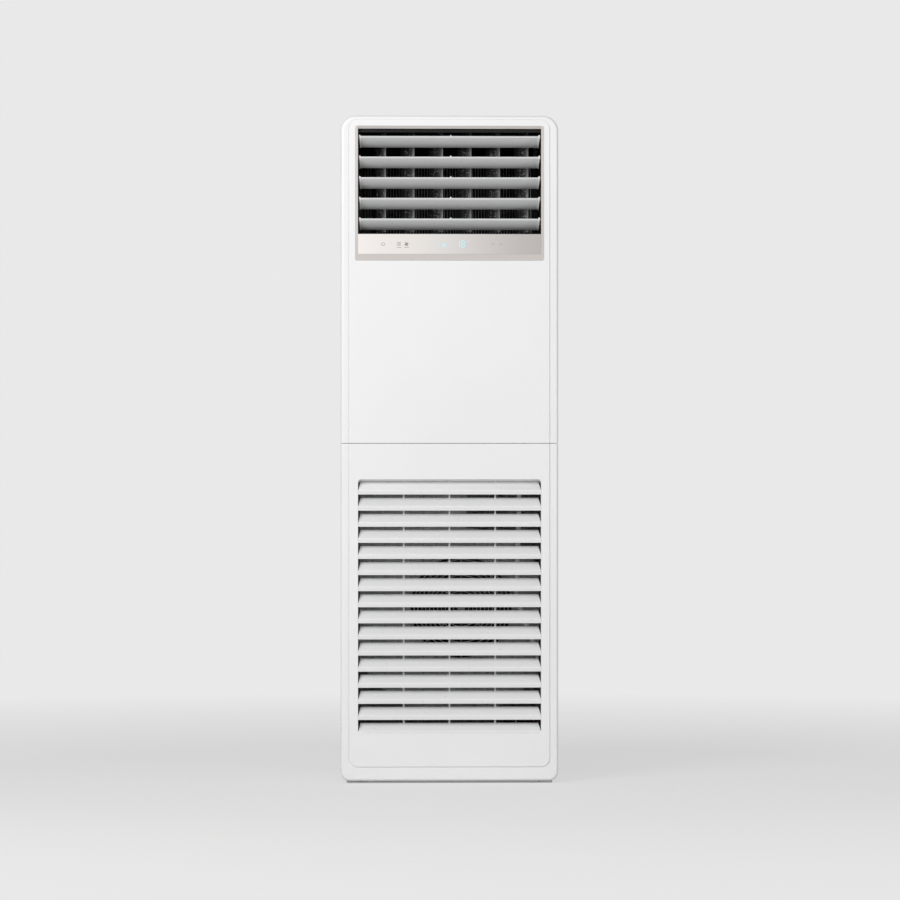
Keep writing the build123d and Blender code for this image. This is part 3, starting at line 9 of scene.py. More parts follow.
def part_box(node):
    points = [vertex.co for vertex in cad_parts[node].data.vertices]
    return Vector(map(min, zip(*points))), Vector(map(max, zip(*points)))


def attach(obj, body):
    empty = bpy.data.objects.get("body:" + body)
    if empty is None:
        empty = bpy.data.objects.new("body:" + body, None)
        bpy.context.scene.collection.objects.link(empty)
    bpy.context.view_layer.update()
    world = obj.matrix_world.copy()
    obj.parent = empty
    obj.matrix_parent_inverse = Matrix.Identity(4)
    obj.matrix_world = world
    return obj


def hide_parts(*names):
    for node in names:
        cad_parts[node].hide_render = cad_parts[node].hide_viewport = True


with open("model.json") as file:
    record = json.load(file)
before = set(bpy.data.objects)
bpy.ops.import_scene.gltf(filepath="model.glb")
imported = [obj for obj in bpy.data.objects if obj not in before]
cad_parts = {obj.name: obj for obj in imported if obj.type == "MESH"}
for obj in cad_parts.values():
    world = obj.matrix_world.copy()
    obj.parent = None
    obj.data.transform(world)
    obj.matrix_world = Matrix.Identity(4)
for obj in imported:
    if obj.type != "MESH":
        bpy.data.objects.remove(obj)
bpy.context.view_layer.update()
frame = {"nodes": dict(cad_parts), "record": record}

nodes = frame["nodes"]
mm = 0.001
near = 0.1    # mm; what counts as lying at a place when points and edges are picked
print("frame loaded:", len(nodes), "nodes")


# ---- selecting, adding and finishing; every size given to these is in mm

def clearSelection():
    if bpy.context.object and bpy.context.object.mode != "OBJECT":
        bpy.ops.object.mode_set(mode="OBJECT")
    bpy.ops.object.select_all(action="DESELECT")


def pick(piece):
    clearSelection()
    piece.select_set(True)
    bpy.context.view_layer.objects.active = piece


def keepPlace(name):
    # the new object's place, turn and scale go into its mesh
    piece = bpy.context.object
    piece.name = piece.data.name = name
    pick(piece)
    bpy.ops.object.transform_apply(location=True, rotation=True, scale=True)
    return piece


def newBox(name, low, high):
    clearSelection()
    bpy.ops.mesh.primitive_cube_add(size=1, location=[(a + b) / 2 * mm for a, b in zip(low, high)],
                                    scale=[(b - a) * mm for a, b in zip(low, high)])
    return keepPlace(name)


def newRod(name, middle, radius, length, way, sides=32):
    turns = {"X": (0, math.radians(90), 0), "Y": (math.radians(90), 0, 0), "Z": (0, 0, 0)}
    clearSelection()
    bpy.ops.mesh.primitive_cylinder_add(vertices=sides, radius=radius * mm, depth=length * mm,
                                        location=[c * mm for c in middle], rotation=turns[way])
    return keepPlace(name)


def newWireRing(name, middle, radius, wire, steps, sides):
    clearSelection()
    bpy.ops.mesh.primitive_torus_add(major_radius=radius * mm, minor_radius=wire / 2 * mm,
                                     major_segments=steps, minor_segments=sides,
                                     location=[c * mm for c in middle], rotation=(math.radians(90), 0, 0))
    return keepPlace(name)


def selectIn(piece, kind, test):
    # edit mode, with the faces, edges or points selected whose place (mm) and way pass the test
    pick(piece)
    bpy.ops.object.mode_set(mode="EDIT")
    bpy.ops.mesh.select_mode(type=kind)
    bpy.ops.mesh.select_all(action="DESELECT")
    mesh = bmesh.from_edit_mesh(piece.data)
    if kind == "FACE":
        for face in mesh.faces:
            face.select_set(bool(test(face.calc_center_median() / mm, face.normal)))
    elif kind == "EDGE":
        for edge in mesh.edges:
            one, two = [point.co for point in edge.verts]
            edge.select_set(bool(test((one + two) / 2 / mm, (two - one).normalized())))
    else:
        for point in mesh.verts:
            point.select_set(bool(test(point.co / mm, point.normal)))
    mesh.select_flush_mode()
    bmesh.update_edit_mesh(piece.data)


def selectAllIn(piece):
    selectIn(piece, "FACE", lambda place, way: True)


def sliceAt(piece, place, way, clear=False):
    # cuts across the mesh; with clear, what lies on the side the way points to goes, and the cut is closed
    selectAllIn(piece)
    bpy.ops.mesh.bisect(plane_co=[c * mm for c in place], plane_no=Vector(way).normalized(), use_fill=clear,
                        clear_outer=clear)
    bpy.ops.object.mode_set(mode="OBJECT")


def moveSelected(shift):
    bpy.ops.transform.translate(value=[c * mm for c in shift])


def roundSelected(width, steps):
    bpy.ops.mesh.bevel(offset=width * mm, segments=steps, affect="EDGES", clamp_overlap=True)
    bpy.ops.object.mode_set(mode="OBJECT")


def applyModifier(piece, kind, **settings):
    modifier = piece.modifiers.new(kind.lower(), kind)
    for name, value in settings.items():
        setattr(modifier, name, value)
    pick(piece)
    bpy.ops.object.modifier_apply(modifier=modifier.name)


def softenEdges(piece, width, steps=2, angle=30):
    applyModifier(piece, "BEVEL", width=width * mm, segments=steps, limit_method="ANGLE",
                  angle_limit=math.radians(angle))
    pick(piece)
    bpy.ops.object.shade_smooth_by_angle(angle=math.radians(38))
    applyModifier(piece, "WEIGHTED_NORMAL", keep_sharp=True)


def cutWith(piece, cutter):
    applyModifier(piece, "BOOLEAN", operation="DIFFERENCE", solver="EXACT", object=cutter)
    bpy.data.objects.remove(cutter)


def joinAll(name, pieces):
    clearSelection()
    for piece in pieces:
        piece.select_set(True)
    bpy.context.view_layer.objects.active = pieces[0]
    bpy.ops.object.join()
    pieces[0].name = pieces[0].data.name = name
    return pieces[0]


def copyOf(piece, name, change):
    twin = piece.copy()
    twin.data = piece.data.copy()
    twin.name = twin.data.name = name
    bpy.context.scene.collection.objects.link(twin)
    twin.data.transform(change)
    return twin


def movedBy(x, y, z):
    return Matrix.Translation((x * mm, y * mm, z * mm))


def turnedAbout(middle, angle, axis):
    there = Matrix.Translation([c * mm for c in middle])
    return there @ Matrix.Rotation(math.radians(angle), 4, axis) @ there.inverted()


def boxOf(node):
    return [[c / mm for c in corner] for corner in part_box(node)]


def dress(piece, material):
    piece.data.materials.clear()
    piece.data.materials.append(materials[material])


def seat(piece, body, slot, *replaced):
    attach(piece, body)
    if replaced:
        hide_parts(*replaced)


# ---- materials: every colour is an sRGB hex value, and patterns are sized in millimetres

def linearColour(hexText):
    parts = [int(hexText[i:i + 2], 16) / 255 for i in (1, 3, 5)]
    return tuple(c / 12.92 if c <= 0.04045 else ((c + 0.055) / 1.055) ** 2.4 for c in parts) + (1.0,)


def addNode(tree, kind, settings=None, values=None, links=None):
    node = tree.nodes.new(kind)
    for name, value in (settings or {}).items():
        setattr(node, name, value)
    for name, value in (values or {}).items():
        node.inputs[name].default_value = value
    for name, socket in (links or {}).items():
        tree.links.new(socket, node.inputs[name])
    return node


def startMaterial(name, values):
    material = bpy.data.materials.new(name)
    material.use_nodes = True
    tree = material.node_tree
    tree.nodes.clear()
    shader = addNode(tree, "ShaderNodeBsdfPrincipled", values=values)
    addNode(tree, "ShaderNodeOutputMaterial", links={"Surface": shader.outputs["BSDF"]})
    place = addNode(tree, "ShaderNodeTexCoord").outputs["Object"]
    return material, tree, shader, place


def rampThrough(tree, factor, stops):
    node = addNode(tree, "ShaderNodeValToRGB", links={"Fac": factor})
    ramp = node.color_ramp
    ramp.elements[0].position, ramp.elements[0].color = stops[0][0], linearColour(stops[0][1])
    ramp.elements[1].position, ramp.elements[1].color = stops[-1][0], linearColour(stops[-1][1])
    for position, colour in stops[1:-1]:
        ramp.elements.new(position).color = linearColour(colour)
    return node.outputs["Color"]


def joinUp(tree, shader, colour, bump, rough=None):
    tree.links.new(colour, shader.inputs["Base Color"])
    tree.links.new(bump.outputs["Normal"], shader.inputs["Normal"])
    if rough:
        tree.links.new(rough.outputs["Result"], shader.inputs["Roughness"])


def mouldedPlastic(name, finish):
    # injection moulded ABS or nylon: a fine spark-eroded grain, a slightly uneven gloss and a
    # faint drift of colour over the length of a part
    material, tree, shader, place = startMaterial(name, {
        "IOR": 1.53, "Coat Weight": finish.get("coat", 0.0), "Coat Roughness": 0.08})
    drift = addNode(tree, "ShaderNodeTexNoise", values={"Scale": 1 / 0.35, "Detail": 2.0, "Roughness": 0.5},
                    links={"Vector": place})
    colour = rampThrough(tree, drift.outputs["Fac"], [(0.35, finish["shade"]), (0.65, finish["colour"])])
    gloss = addNode(tree, "ShaderNodeTexNoise", values={"Scale": 1 / 0.02, "Detail": 3.0},
                    links={"Vector": place})
    rough = addNode(tree, "ShaderNodeMapRange", values={
        "From Min": 0.3, "From Max": 0.7,
        "To Min": finish["roughness"] - 0.03, "To Max": finish["roughness"] + 0.04},
        links={"Value": gloss.outputs["Fac"]})
    # the real grain is about 0.1 mm; it is drawn at the size given so that it shows
    grain = addNode(tree, "ShaderNodeTexNoise", values={"Scale": 1000 / finish["grainMm"], "Detail": 2.0},
                    links={"Vector": place})
    bump = addNode(tree, "ShaderNodeBump", values={"Strength": finish.get("bump", 0.12), "Distance": 0.0002},
                   links={"Height": grain.outputs["Fac"]})
    joinUp(tree, shader, colour, bump, rough)
    return material


def powderCoatedSteel(name, finish):
    # folded steel with a baked powder coat: orange peel about 2 mm across and a satin gloss
    material, tree, shader, place = startMaterial(name, {"IOR": 1.5, "Roughness": finish["roughness"]})
    drift = addNode(tree, "ShaderNodeTexNoise", values={"Scale": 1 / 0.4, "Detail": 2.0},
                    links={"Vector": place})
    colour = rampThrough(tree, drift.outputs["Fac"], [(0.35, finish["shade"]), (0.65, finish["colour"])])
    peel = addNode(tree, "ShaderNodeTexNoise", values={"Scale": 1000 / finish["peelMm"], "Detail": 1.0},
                   links={"Vector": place})
    bump = addNode(tree, "ShaderNodeBump", values={"Strength": 0.10, "Distance": 0.0003},
                   links={"Height": peel.outputs["Fac"]})
    joinUp(tree, shader, colour, bump)
    return material


def galvanisedSteel(name, finish):
    # hot dip zinc: flat crystals some 10 mm across, each with its own grey and its own sheen
    material, tree, shader, place = startMaterial(name, {"Metallic": finish["metallic"]})
    spangle = addNode(tree, "ShaderNodeTexVoronoi", settings={"feature": "F1"},
                      values={"Scale": 1000 / finish["spangleMm"], "Randomness": 1.0},
                      links={"Vector": place})
    level = addNode(tree, "ShaderNodeSeparateColor", links={"Color": spangle.outputs["Color"]})
    colour = rampThrough(tree, level.outputs["Red"], [(0.0, finish["shade"]), (1.0, finish["colour"])])
    rough = addNode(tree, "ShaderNodeMapRange", values={
        "To Min": finish["roughness"] - 0.08, "To Max": finish["roughness"] + 0.10},
        links={"Value": level.outputs["Green"]})
    bump = addNode(tree, "ShaderNodeBump", values={"Strength": 0.08, "Distance": 0.0002},
                   links={"Height": level.outputs["Blue"]})
    joinUp(tree, shader, colour, bump, rough)
    return material


def drawnMetal(name, finish):
    # rolled or drawn metal: fine streaks along one axis and a faint tarnish in patches
    material, tree, shader, place = startMaterial(name, {"Metallic": 1.0})
    stretch = addNode(tree, "ShaderNodeMapping", values={"Scale": finish["streak"]}, links={"Vector": place})
    streaks = addNode(tree, "ShaderNodeTexNoise", values={"Scale": 1.0, "Detail": 3.0},
                      links={"Vector": stretch.outputs["Vector"]})
    patches = addNode(tree, "ShaderNodeTexNoise", values={"Scale": 1 / 0.03, "Detail": 3.0},
                      links={"Vector": place})
    colour = rampThrough(tree, patches.outputs["Fac"], [(0.35, finish["shade"]), (0.6, finish["colour"])])
    rough = addNode(tree, "ShaderNodeMapRange", values={
        "From Min": 0.3, "From Max": 0.7,
        "To Min": finish["roughness"] - 0.06, "To Max": finish["roughness"] + 0.06},
        links={"Value": streaks.outputs["Fac"]})
    bump = addNode(tree, "ShaderNodeBump", values={"Strength": 0.08, "Distance": 0.0002},
                   links={"Height": streaks.outputs["Fac"]})
    joinUp(tree, shader, colour, bump, rough)
    return material


def filmWithPaintedReflection(name, finish):
    # a champagne film under clear lacquer, with a painted reflection that darkens it evenly from left to
    # right, and a very fine brushed line under the gloss
    material, tree, shader, place = startMaterial(name, {
        "IOR": 1.5, "Metallic": finish["metallic"], "Roughness": finish["roughness"],
        "Coat Weight": 0.5, "Coat Roughness": 0.06})
    parts = addNode(tree, "ShaderNodeSeparateXYZ", links={"Vector": place})
    across = addNode(tree, "ShaderNodeMapRange", values={
        "From Min": finish["from"] * mm, "From Max": finish["to"] * mm}, links={"Value": parts.outputs["X"]})
    colour = rampThrough(tree, across.outputs["Result"], finish["stops"])
    stretch = addNode(tree, "ShaderNodeMapping", values={"Scale": (12.0, 1.0, 900.0)},
                      links={"Vector": place})
    lines = addNode(tree, "ShaderNodeTexNoise", values={"Scale": 1.0, "Detail": 2.0},
                    links={"Vector": stretch.outputs["Vector"]})
    bump = addNode(tree, "ShaderNodeBump", values={"Strength": 0.02, "Distance": 0.0001},
                   links={"Height": lines.outputs["Fac"]})
    joinUp(tree, shader, colour, bump)
    return material


def dottedPlastic(name, finish):
    # black ABS in the moving air, with pale specks on it. They are drawn some 6 mm apart, far coarser than
    # real ones, so that they show; ground and specks are painted light at the front edge and go dark towards
    # the rear edge, as painted shade deeper in the duct
    material, tree, shader, place = startMaterial(name, {"IOR": 1.5, "Specular IOR Level": 0.3})
    specks = addNode(tree, "ShaderNodeTexVoronoi", settings={"feature": "F1"},
                     values={"Scale": 1000 / finish["speckMm"], "Randomness": 0.9}, links={"Vector": place})
    parts = addNode(tree, "ShaderNodeSeparateXYZ", links={"Vector": place})
    depth = addNode(tree, "ShaderNodeMapRange", values={
        "From Min": finish["frontY"] * mm, "From Max": finish["rearY"] * mm},
        links={"Value": parts.outputs["Y"]})
    # both ramps run from the front edge to the rear edge: painted light falloff, pale in front and near black
    # deep in the duct
    ground = rampThrough(tree, depth.outputs["Result"], finish["ground"])
    speckFalloff = rampThrough(tree, depth.outputs["Result"], finish["speckFalloff"])
    spots = addNode(tree, "ShaderNodeMapRange", values={
        "From Min": 0.20, "From Max": 0.30, "To Min": 1.0, "To Max": 0.0},
        links={"Value": specks.outputs["Distance"]})
    mixed = addNode(tree, "ShaderNodeMix", settings={"data_type": "RGBA"})
    for socket, source in ((0, spots.outputs["Result"]), (6, ground), (7, speckFalloff)):
        tree.links.new(source, mixed.inputs[socket])
    rough = addNode(tree, "ShaderNodeMapRange", values={
        "From Max": 0.6, "To Min": finish["roughness"] - 0.1, "To Max": finish["roughness"] + 0.1},
        links={"Value": specks.outputs["Distance"]})
    bump = addNode(tree, "ShaderNodeBump", values={"Strength": 0.35, "Distance": 0.0003},
                   links={"Height": specks.outputs["Distance"]})
    joinUp(tree, shader, mixed.outputs[2], bump, rough)
    return material


def litPrint(name, finish):
    # screen-printed ink, or a light pipe behind the film, with the faint unevenness of the print
    material, tree, shader, place = startMaterial(name, {
        "Roughness": 0.4, "Emission Strength": finish["glow"]})
    patches = addNode(tree, "ShaderNodeTexNoise", values={"Scale": 1000 / 4.0, "Detail": 2.0},
                      links={"Vector": place})
    colour = rampThrough(tree, patches.outputs["Fac"], [(0.3, finish["shade"]), (0.7, finish["colour"])])
    tree.links.new(colour, shader.inputs["Base Color"])
    tree.links.new(colour, shader.inputs["Emission Color"])
    return material


def ringedHose(name, finish):
    # corrugated soft PVC, drawn a darker grey in the valleys. The wave repeats every 0.314 of its scaled
    # unit, so the rings are drawn 25 mm apart, far coarser than real ones
    material, tree, shader, place = startMaterial(name, {"Roughness": finish["roughness"], "IOR": 1.5})
    rings = addNode(tree, "ShaderNodeTexWave", settings={"bands_direction": "Z"},
                    values={"Scale": finish["waveScale"], "Distortion": 0.2},
                    links={"Vector": place})
    colour = rampThrough(tree, rings.outputs["Fac"], [(0.1, finish["shade"]), (0.7, finish["colour"])])
    bump = addNode(tree, "ShaderNodeBump", values={"Strength": 0.6, "Distance": 0.001},
                   links={"Height": rings.outputs["Fac"]})
    joinUp(tree, shader, colour, bump)
    return material


makers = {
    mouldedPlastic: {
        "whiteAbs": {"colour": "#ececed", "shade": "#eaeaeb", "roughness": 0.36,
                     "grainMm": 1.2, "bump": 0.04},
        "grilleAbs": {"colour": "#e6e6e6", "shade": "#e3e3e3", "roughness": 0.30,
                      "grainMm": 1.2, "bump": 0.02, "coat": 0.8},
        "bladeAbs": {"colour": "#d2d2d3", "shade": "#cecfd0", "roughness": 0.30,
                     "grainMm": 1.0, "bump": 0.04},
        # whiter and glossier than the blades' own ABS: a painted highlight on the fences and tips
        "highlightTipAbs": {"colour": "#f6f6f6", "shade": "#f4f4f4", "roughness": 0.18,
                   "grainMm": 1.0, "bump": 0.02, "coat": 0.6},
        "champagneAbs": {"colour": "#cec8c4", "shade": "#cac4c0", "roughness": 0.30,
                         "grainMm": 0.8, "bump": 0.04, "coat": 0.3},
        "ductAbs": {"colour": "#141415", "shade": "#101011", "roughness": 0.6, "grainMm": 1.5},
        "linkAbs": {"colour": "#1c1c1d", "shade": "#171718", "roughness": 0.5, "grainMm": 1.2},
        "blackNylon": {"colour": "#202022", "shade": "#1a1a1c", "roughness": 0.5, "grainMm": 1.2},
        "baseAbs": {"colour": "#bcb8b9", "shade": "#b4b0b1", "roughness": 0.5, "grainMm": 1.5},
        "filterNet": {"colour": "#4a4a4c", "shade": "#404042", "roughness": 0.6, "grainMm": 1.0},
        "expandedFoam": {"colour": "#f2f2ee", "shade": "#eaeae6", "roughness": 0.8,
                         "grainMm": 4.0, "bump": 0.5},
        "circuitBoard": {"colour": "#1f6b3c", "shade": "#1a5a33", "roughness": 0.35, "grainMm": 2.0},
        "blackRubber": {"colour": "#1b1b1b", "shade": "#161616", "roughness": 0.75,
                        "grainMm": 1.5, "bump": 0.2},
        # near black: the lining's own black, and painted shade for the cabinet's inside seen through the
        # outlet
        "shadeLiningFoam": {"colour": "#0f0f10", "shade": "#0c0c0d", "roughness": 0.9,
                       "grainMm": 2.5, "bump": 0.4},
        # near black: painted shadow under the outlet's head
        "headShadowFelt": {"colour": "#0e0e0f", "shade": "#0c0c0d", "roughness": 0.9,
                     "grainMm": 1.5, "bump": 0.4},
        "wheelAbs": {"colour": "#1b1b1c", "shade": "#151516", "roughness": 0.45, "grainMm": 1.5},
    },
    powderCoatedSteel: {
        "powderCoat": {"colour": "#e9e9ea", "shade": "#e6e6e7", "roughness": 0.42, "peelMm": 2.2},
        "guardCoat": {"colour": "#b4b4b6", "shade": "#a8a8aa", "roughness": 0.45, "peelMm": 1.5},
        "finCoat": {"colour": "#b2b4b6", "shade": "#a2a4a6", "roughness": 0.5, "peelMm": 2.0},
        "tubeCoat": {"colour": "#c4c5c7", "shade": "#bcbdbf", "roughness": 0.4, "peelMm": 2.0},
        "coilShade": {"colour": "#141415", "shade": "#101011", "roughness": 0.7, "peelMm": 2.0},
        "motorCoat": {"colour": "#3a3b3d", "shade": "#333436", "roughness": 0.4, "peelMm": 2.0},
    },
    drawnMetal: {
        "drawnCopper": {"colour": "#c98257", "shade": "#a8643f", "roughness": 0.25,
                        "streak": (60.0, 60.0, 600.0)},
        "turnedBrass": {"colour": "#c9a65c", "shade": "#b28f4a", "roughness": 0.28,
                        "streak": (200.0, 200.0, 200.0)},
        "zincSteel": {"colour": "#c3c6c8", "shade": "#aeb1b3", "roughness": 0.35,
                      "streak": (300.0, 300.0, 300.0)},
        "groundSteel": {"colour": "#d0d0d0", "shade": "#bcbcbc", "roughness": 0.22,
                        "streak": (300.0, 20.0, 300.0)},
    },
    galvanisedSteel: {
        "galvanisedSteel": {"colour": "#c6cacc", "shade": "#a4a8ab", "roughness": 0.42, "spangleMm": 11.0,
                            "metallic": 0.45},
        "dullZincSheet": {"colour": "#bcbec0", "shade": "#acaeb0", "roughness": 0.55, "spangleMm": 9.0,
                          "metallic": 0.15},
        "darkEndPlate": {"colour": "#26272a", "shade": "#1d1e20", "roughness": 0.6, "spangleMm": 9.0,
                         "metallic": 0.3},
    },
    filmWithPaintedReflection: {
        # these stops darken from left to right: painted reflection falloff on the film
        "fasciaFilm": {"from": -254.0, "to": 254.0, "roughness": 0.3, "metallic": 0.0, "stops": [
            (0.0, "#efeae7"), (0.12, "#e9e4e1"), (0.34, "#e3deda"), (0.5, "#d9d5d4"), (0.66, "#cfcac7"),
            (0.88, "#beb9b6"), (1.0, "#b9b4b1")]},
    },
    dottedPlastic: {
        # the ground and speck ramps are painted light falloff from the front edge to the rear edge
        "vaneAbs": {"roughness": 0.45, "speckMm": 6.5, "frontY": -121.5, "rearY": -77.5,
                    "ground": [(0.0, "#8e8e90"), (0.10, "#6a6a6c"), (0.16, "#4c4c4e"), (0.45, "#202021"),
                               (0.75, "#121213"), (1.0, "#0e0e0f")],
                    "speckFalloff": [(0.0, "#8e8e90"), (0.1, "#b2b2b4"), (0.45, "#8a8a8c"), (0.8, "#404042"),
                             (1.0, "#1c1c1d")]},
    },
    litPrint: {
        "greyInk": {"colour": "#8d8885", "shade": "#858180", "glow": 0.0},
        "cyanLight": {"colour": "#aee9ed", "shade": "#a6e5ea", "glow": 0.12},
        "faintCyanLight": {"colour": "#cbe0e1", "shade": "#c6dcde", "glow": 0.05},
    },
    ringedHose: {
        "hosePvc": {"colour": "#e9e9ea", "shade": "#cfd0d1", "roughness": 0.5, "waveScale": 12.5},
    },
}
materials = {name: make(name, finish)
             for make, finishes in makers.items() for name, finish in finishes.items()}

slotMaterials = {
    "white_abs": "whiteAbs", "light_abs": "bladeAbs", "champagne_abs": "champagneAbs",
    "champagne_gloss": "fasciaFilm", "dark_abs": "ductAbs", "black_abs": "vaneAbs",
    "black_nylon": "blackNylon", "coated_steel": "powderCoat", "galvanised_steel": "galvanisedSteel",
    "zinc_steel": "zincSteel", "shaft_steel": "groundSteel", "coated_wire": "guardCoat",
    "coil_aluminium": "finCoat",
    "copper": "drawnCopper", "brass_nut": "turnedBrass", "motor_can": "motorCoat",
    "circuit_board": "circuitBoard", "filter_mesh": "filterNet", "foam_white": "expandedFoam",
    "grey_hose": "hosePvc", "black_rubber": "blackRubber",
}
nodeMaterials = {"base_pan": "baseAbs", "blade_link": "linkAbs", "vane_link": "linkAbs",
                 "blower_front_plate": "dullZincSheet", "blower_housing": "dullZincSheet",
                 "inlet_bellmouth": "dullZincSheet", "coil_end_plates": "darkEndPlate",
                 "filter_frame": "filterNet"}
for part in frame["record"]["subparts"]:
    dress(nodes[part["node"]], nodeMaterials.get(part["node"], slotMaterials[part["material_slot"]]))
print("materials made:", len(materials))


# ---- outlet bezel: a rounded frame whose head slopes back into the outlet, with a sloping lip below

bezelShape = {"cornerRadius": 6.0, "side": 7.5, "head": 8.0, "headSetback": 5.0, "headEdge": 0.6, "lip": 18.1,
              "lipSetback": 2.5, "fasciaHeight": 55.7, "fasciaDepth": 1.8, "edge": 0.5,
              "window": ((-30.2, 14.65), (54.2, 41.05)), "beyond": 10.0}


def makeBezel(shape):
    low, high = boxOf("outlet_bezel")
    front, back = low[1] - shape["beyond"], high[1] + shape["beyond"]    # cutters reach past both faces
    inner = high[0] - shape["side"]
    fasciaFoot = low[2] + shape["lip"]
    openFoot, openHead = fasciaFoot + shape["fasciaHeight"], high[2] - shape["head"]
    piece = newBox("outletBezel", low, high)
    selectIn(piece, "EDGE", lambda place, way: abs(way.y) > 0.9)
    roundSelected(shape["cornerRadius"], 8)
    sliceAt(piece, (0, low[1], fasciaFoot), (0, -shape["lip"], -shape["lipSetback"]), clear=True)
    opening = newBox("openingCut", (-inner, front, openFoot), (inner, back, openHead))
    sliceAt(opening, (0, low[1] + shape["headSetback"], 0), (0, 1, 0))
    selectIn(opening, "EDGE", lambda place, way: abs(way.x) > 0.9 and place.y < front + near
             and place.z > openHead - near)
    slope = (shape["head"] - shape["headEdge"]) / shape["headSetback"]
    moveSelected((0, 0, (shape["headSetback"] + shape["beyond"]) * slope))
    bpy.ops.object.mode_set(mode="OBJECT")
    cutWith(piece, opening)
    cutWith(piece, newBox("fasciaCut", (-inner, front, fasciaFoot),
                          (inner, low[1] + shape["fasciaDepth"], openFoot + 1)))
    (left, foot), (right, top) = shape["window"]    # x, and the height above the fascia's foot
    cutWith(piece, newBox("windowCut", (left, front, fasciaFoot + foot), (right, back, fasciaFoot + top)))
    softenEdges(piece, shape["edge"])
    dress(piece, "champagneAbs")
    seat(piece, "cabinet", "champagne_abs", "outlet_bezel")


makeBezel(bezelShape)
print("bezel made")


# ---- control fascia with its printed keys and the lit display

fasciaShape = {"cornerRadius": 0.8, "edge": 0.25, "ink": 1.1, "flat": 0.1}
keyPrint = {
    "power": (-184.2, 1493.6, 4.5), "powerInk": 1.3, "powerArc": (115, 425), "powerBar": (0.45, 1.1),
    "grid": (-140.4, 1494.7, 5.0), "gridRows": (-4.2, -1.4, 1.4, 4.2),
    "fan": (-119.6, 1493.8, 5.2), "petals": (20, 110, 200, 290), "petalReaches": (0.55, 0.8, 1.0),
    "petalSpan": (-10, 35), "dash": (1484.6, 6.4),
    "chevrons": ((119.6, 1), (141.5, -1)), "chevronZ": 1494.0, "chevron": (4.6, 1.6, 2.2),
}
displayLight = {
    "bars": ((-55.1, 1484.5, 1504.0), (-44.4, 1486.0, 1504.0), (-36.0, 1484.5, 1504.0)), "barInk": 1.2,
    "flake": (-15.0, 1491.5, 6.2), "flakeInk": 1.1, "barbRoot": 0.55, "barbReach": 0.35, "barbTurn": 50,
    "mark": (8.8, 1502.5, 2.2), "markInk": 0.9, "digitsX": (23.2, 36.7), "digitsZ": (1484.8, 1502.7),
    "digitWidth": 8.4, "digitInk": 2.3, "degree": (50.5, 1502.0, 1.9), "degreeInk": 0.8,
}


def polar(x, z, angle, reach):
    return x + reach * math.cos(math.radians(angle)), z + reach * math.sin(math.radians(angle))


def arc(x, z, radius, start, end, steps=20):
    return [polar(x, z, start + (end - start) * step / steps, radius) for step in range(steps + 1)]


def drawStrokes(name, lines, width, material, faceY):
    # flat strokes with round ends, drawn as a curve, made a mesh and laid on the face
    curve = bpy.data.curves.new(name, "CURVE")
    curve.dimensions = "3D"
    curve.bevel_depth = width / 2 * mm
    curve.bevel_resolution = 2
    curve.use_fill_caps = True
    for line in lines:
        spline = curve.splines.new("POLY")
        spline.points.add(len(line) - 1)
        for point, (x, z) in zip(spline.points, line):
            point.co = (x * mm, 0, z * mm, 1)
    drawn = bpy.data.objects.new(name, curve)
    bpy.context.scene.collection.objects.link(drawn)
    pick(drawn)
    bpy.ops.object.convert(target="MESH")
    piece = bpy.context.object
    piece.scale = (1, fasciaShape["flat"] / width, 1)
    piece.location = (0, faceY * mm, 0)
    keepPlace(name)
    bpy.ops.object.shade_smooth_by_angle(angle=math.radians(60))
    dress(piece, material)
    seat(piece, "cabinet", "champagne_gloss")


def digit(text, x, low, high, width):
    # seven strokes: top, the upper sides, middle, the lower sides, foot
    on = {"1": "cf", "8": "abcdefg"}[text]
    left, right, middle = x - width / 2, x + width / 2, (low + high) / 2
    gap = 0.9
    strokes = {
        "a": [(left + gap, high), (right - gap, high)],
        "b": [(left, high - gap), (left, middle + gap)],
        "c": [(right, high - gap), (right, middle + gap)],
        "d": [(left + gap, middle), (right - gap, middle)],
        "e": [(left, middle - gap), (left, low + gap)],
        "f": [(right, middle - gap), (right, low + gap)],
        "g": [(left + gap, low), (right - gap, low)],
    }
    return [strokes[key] for key in on]


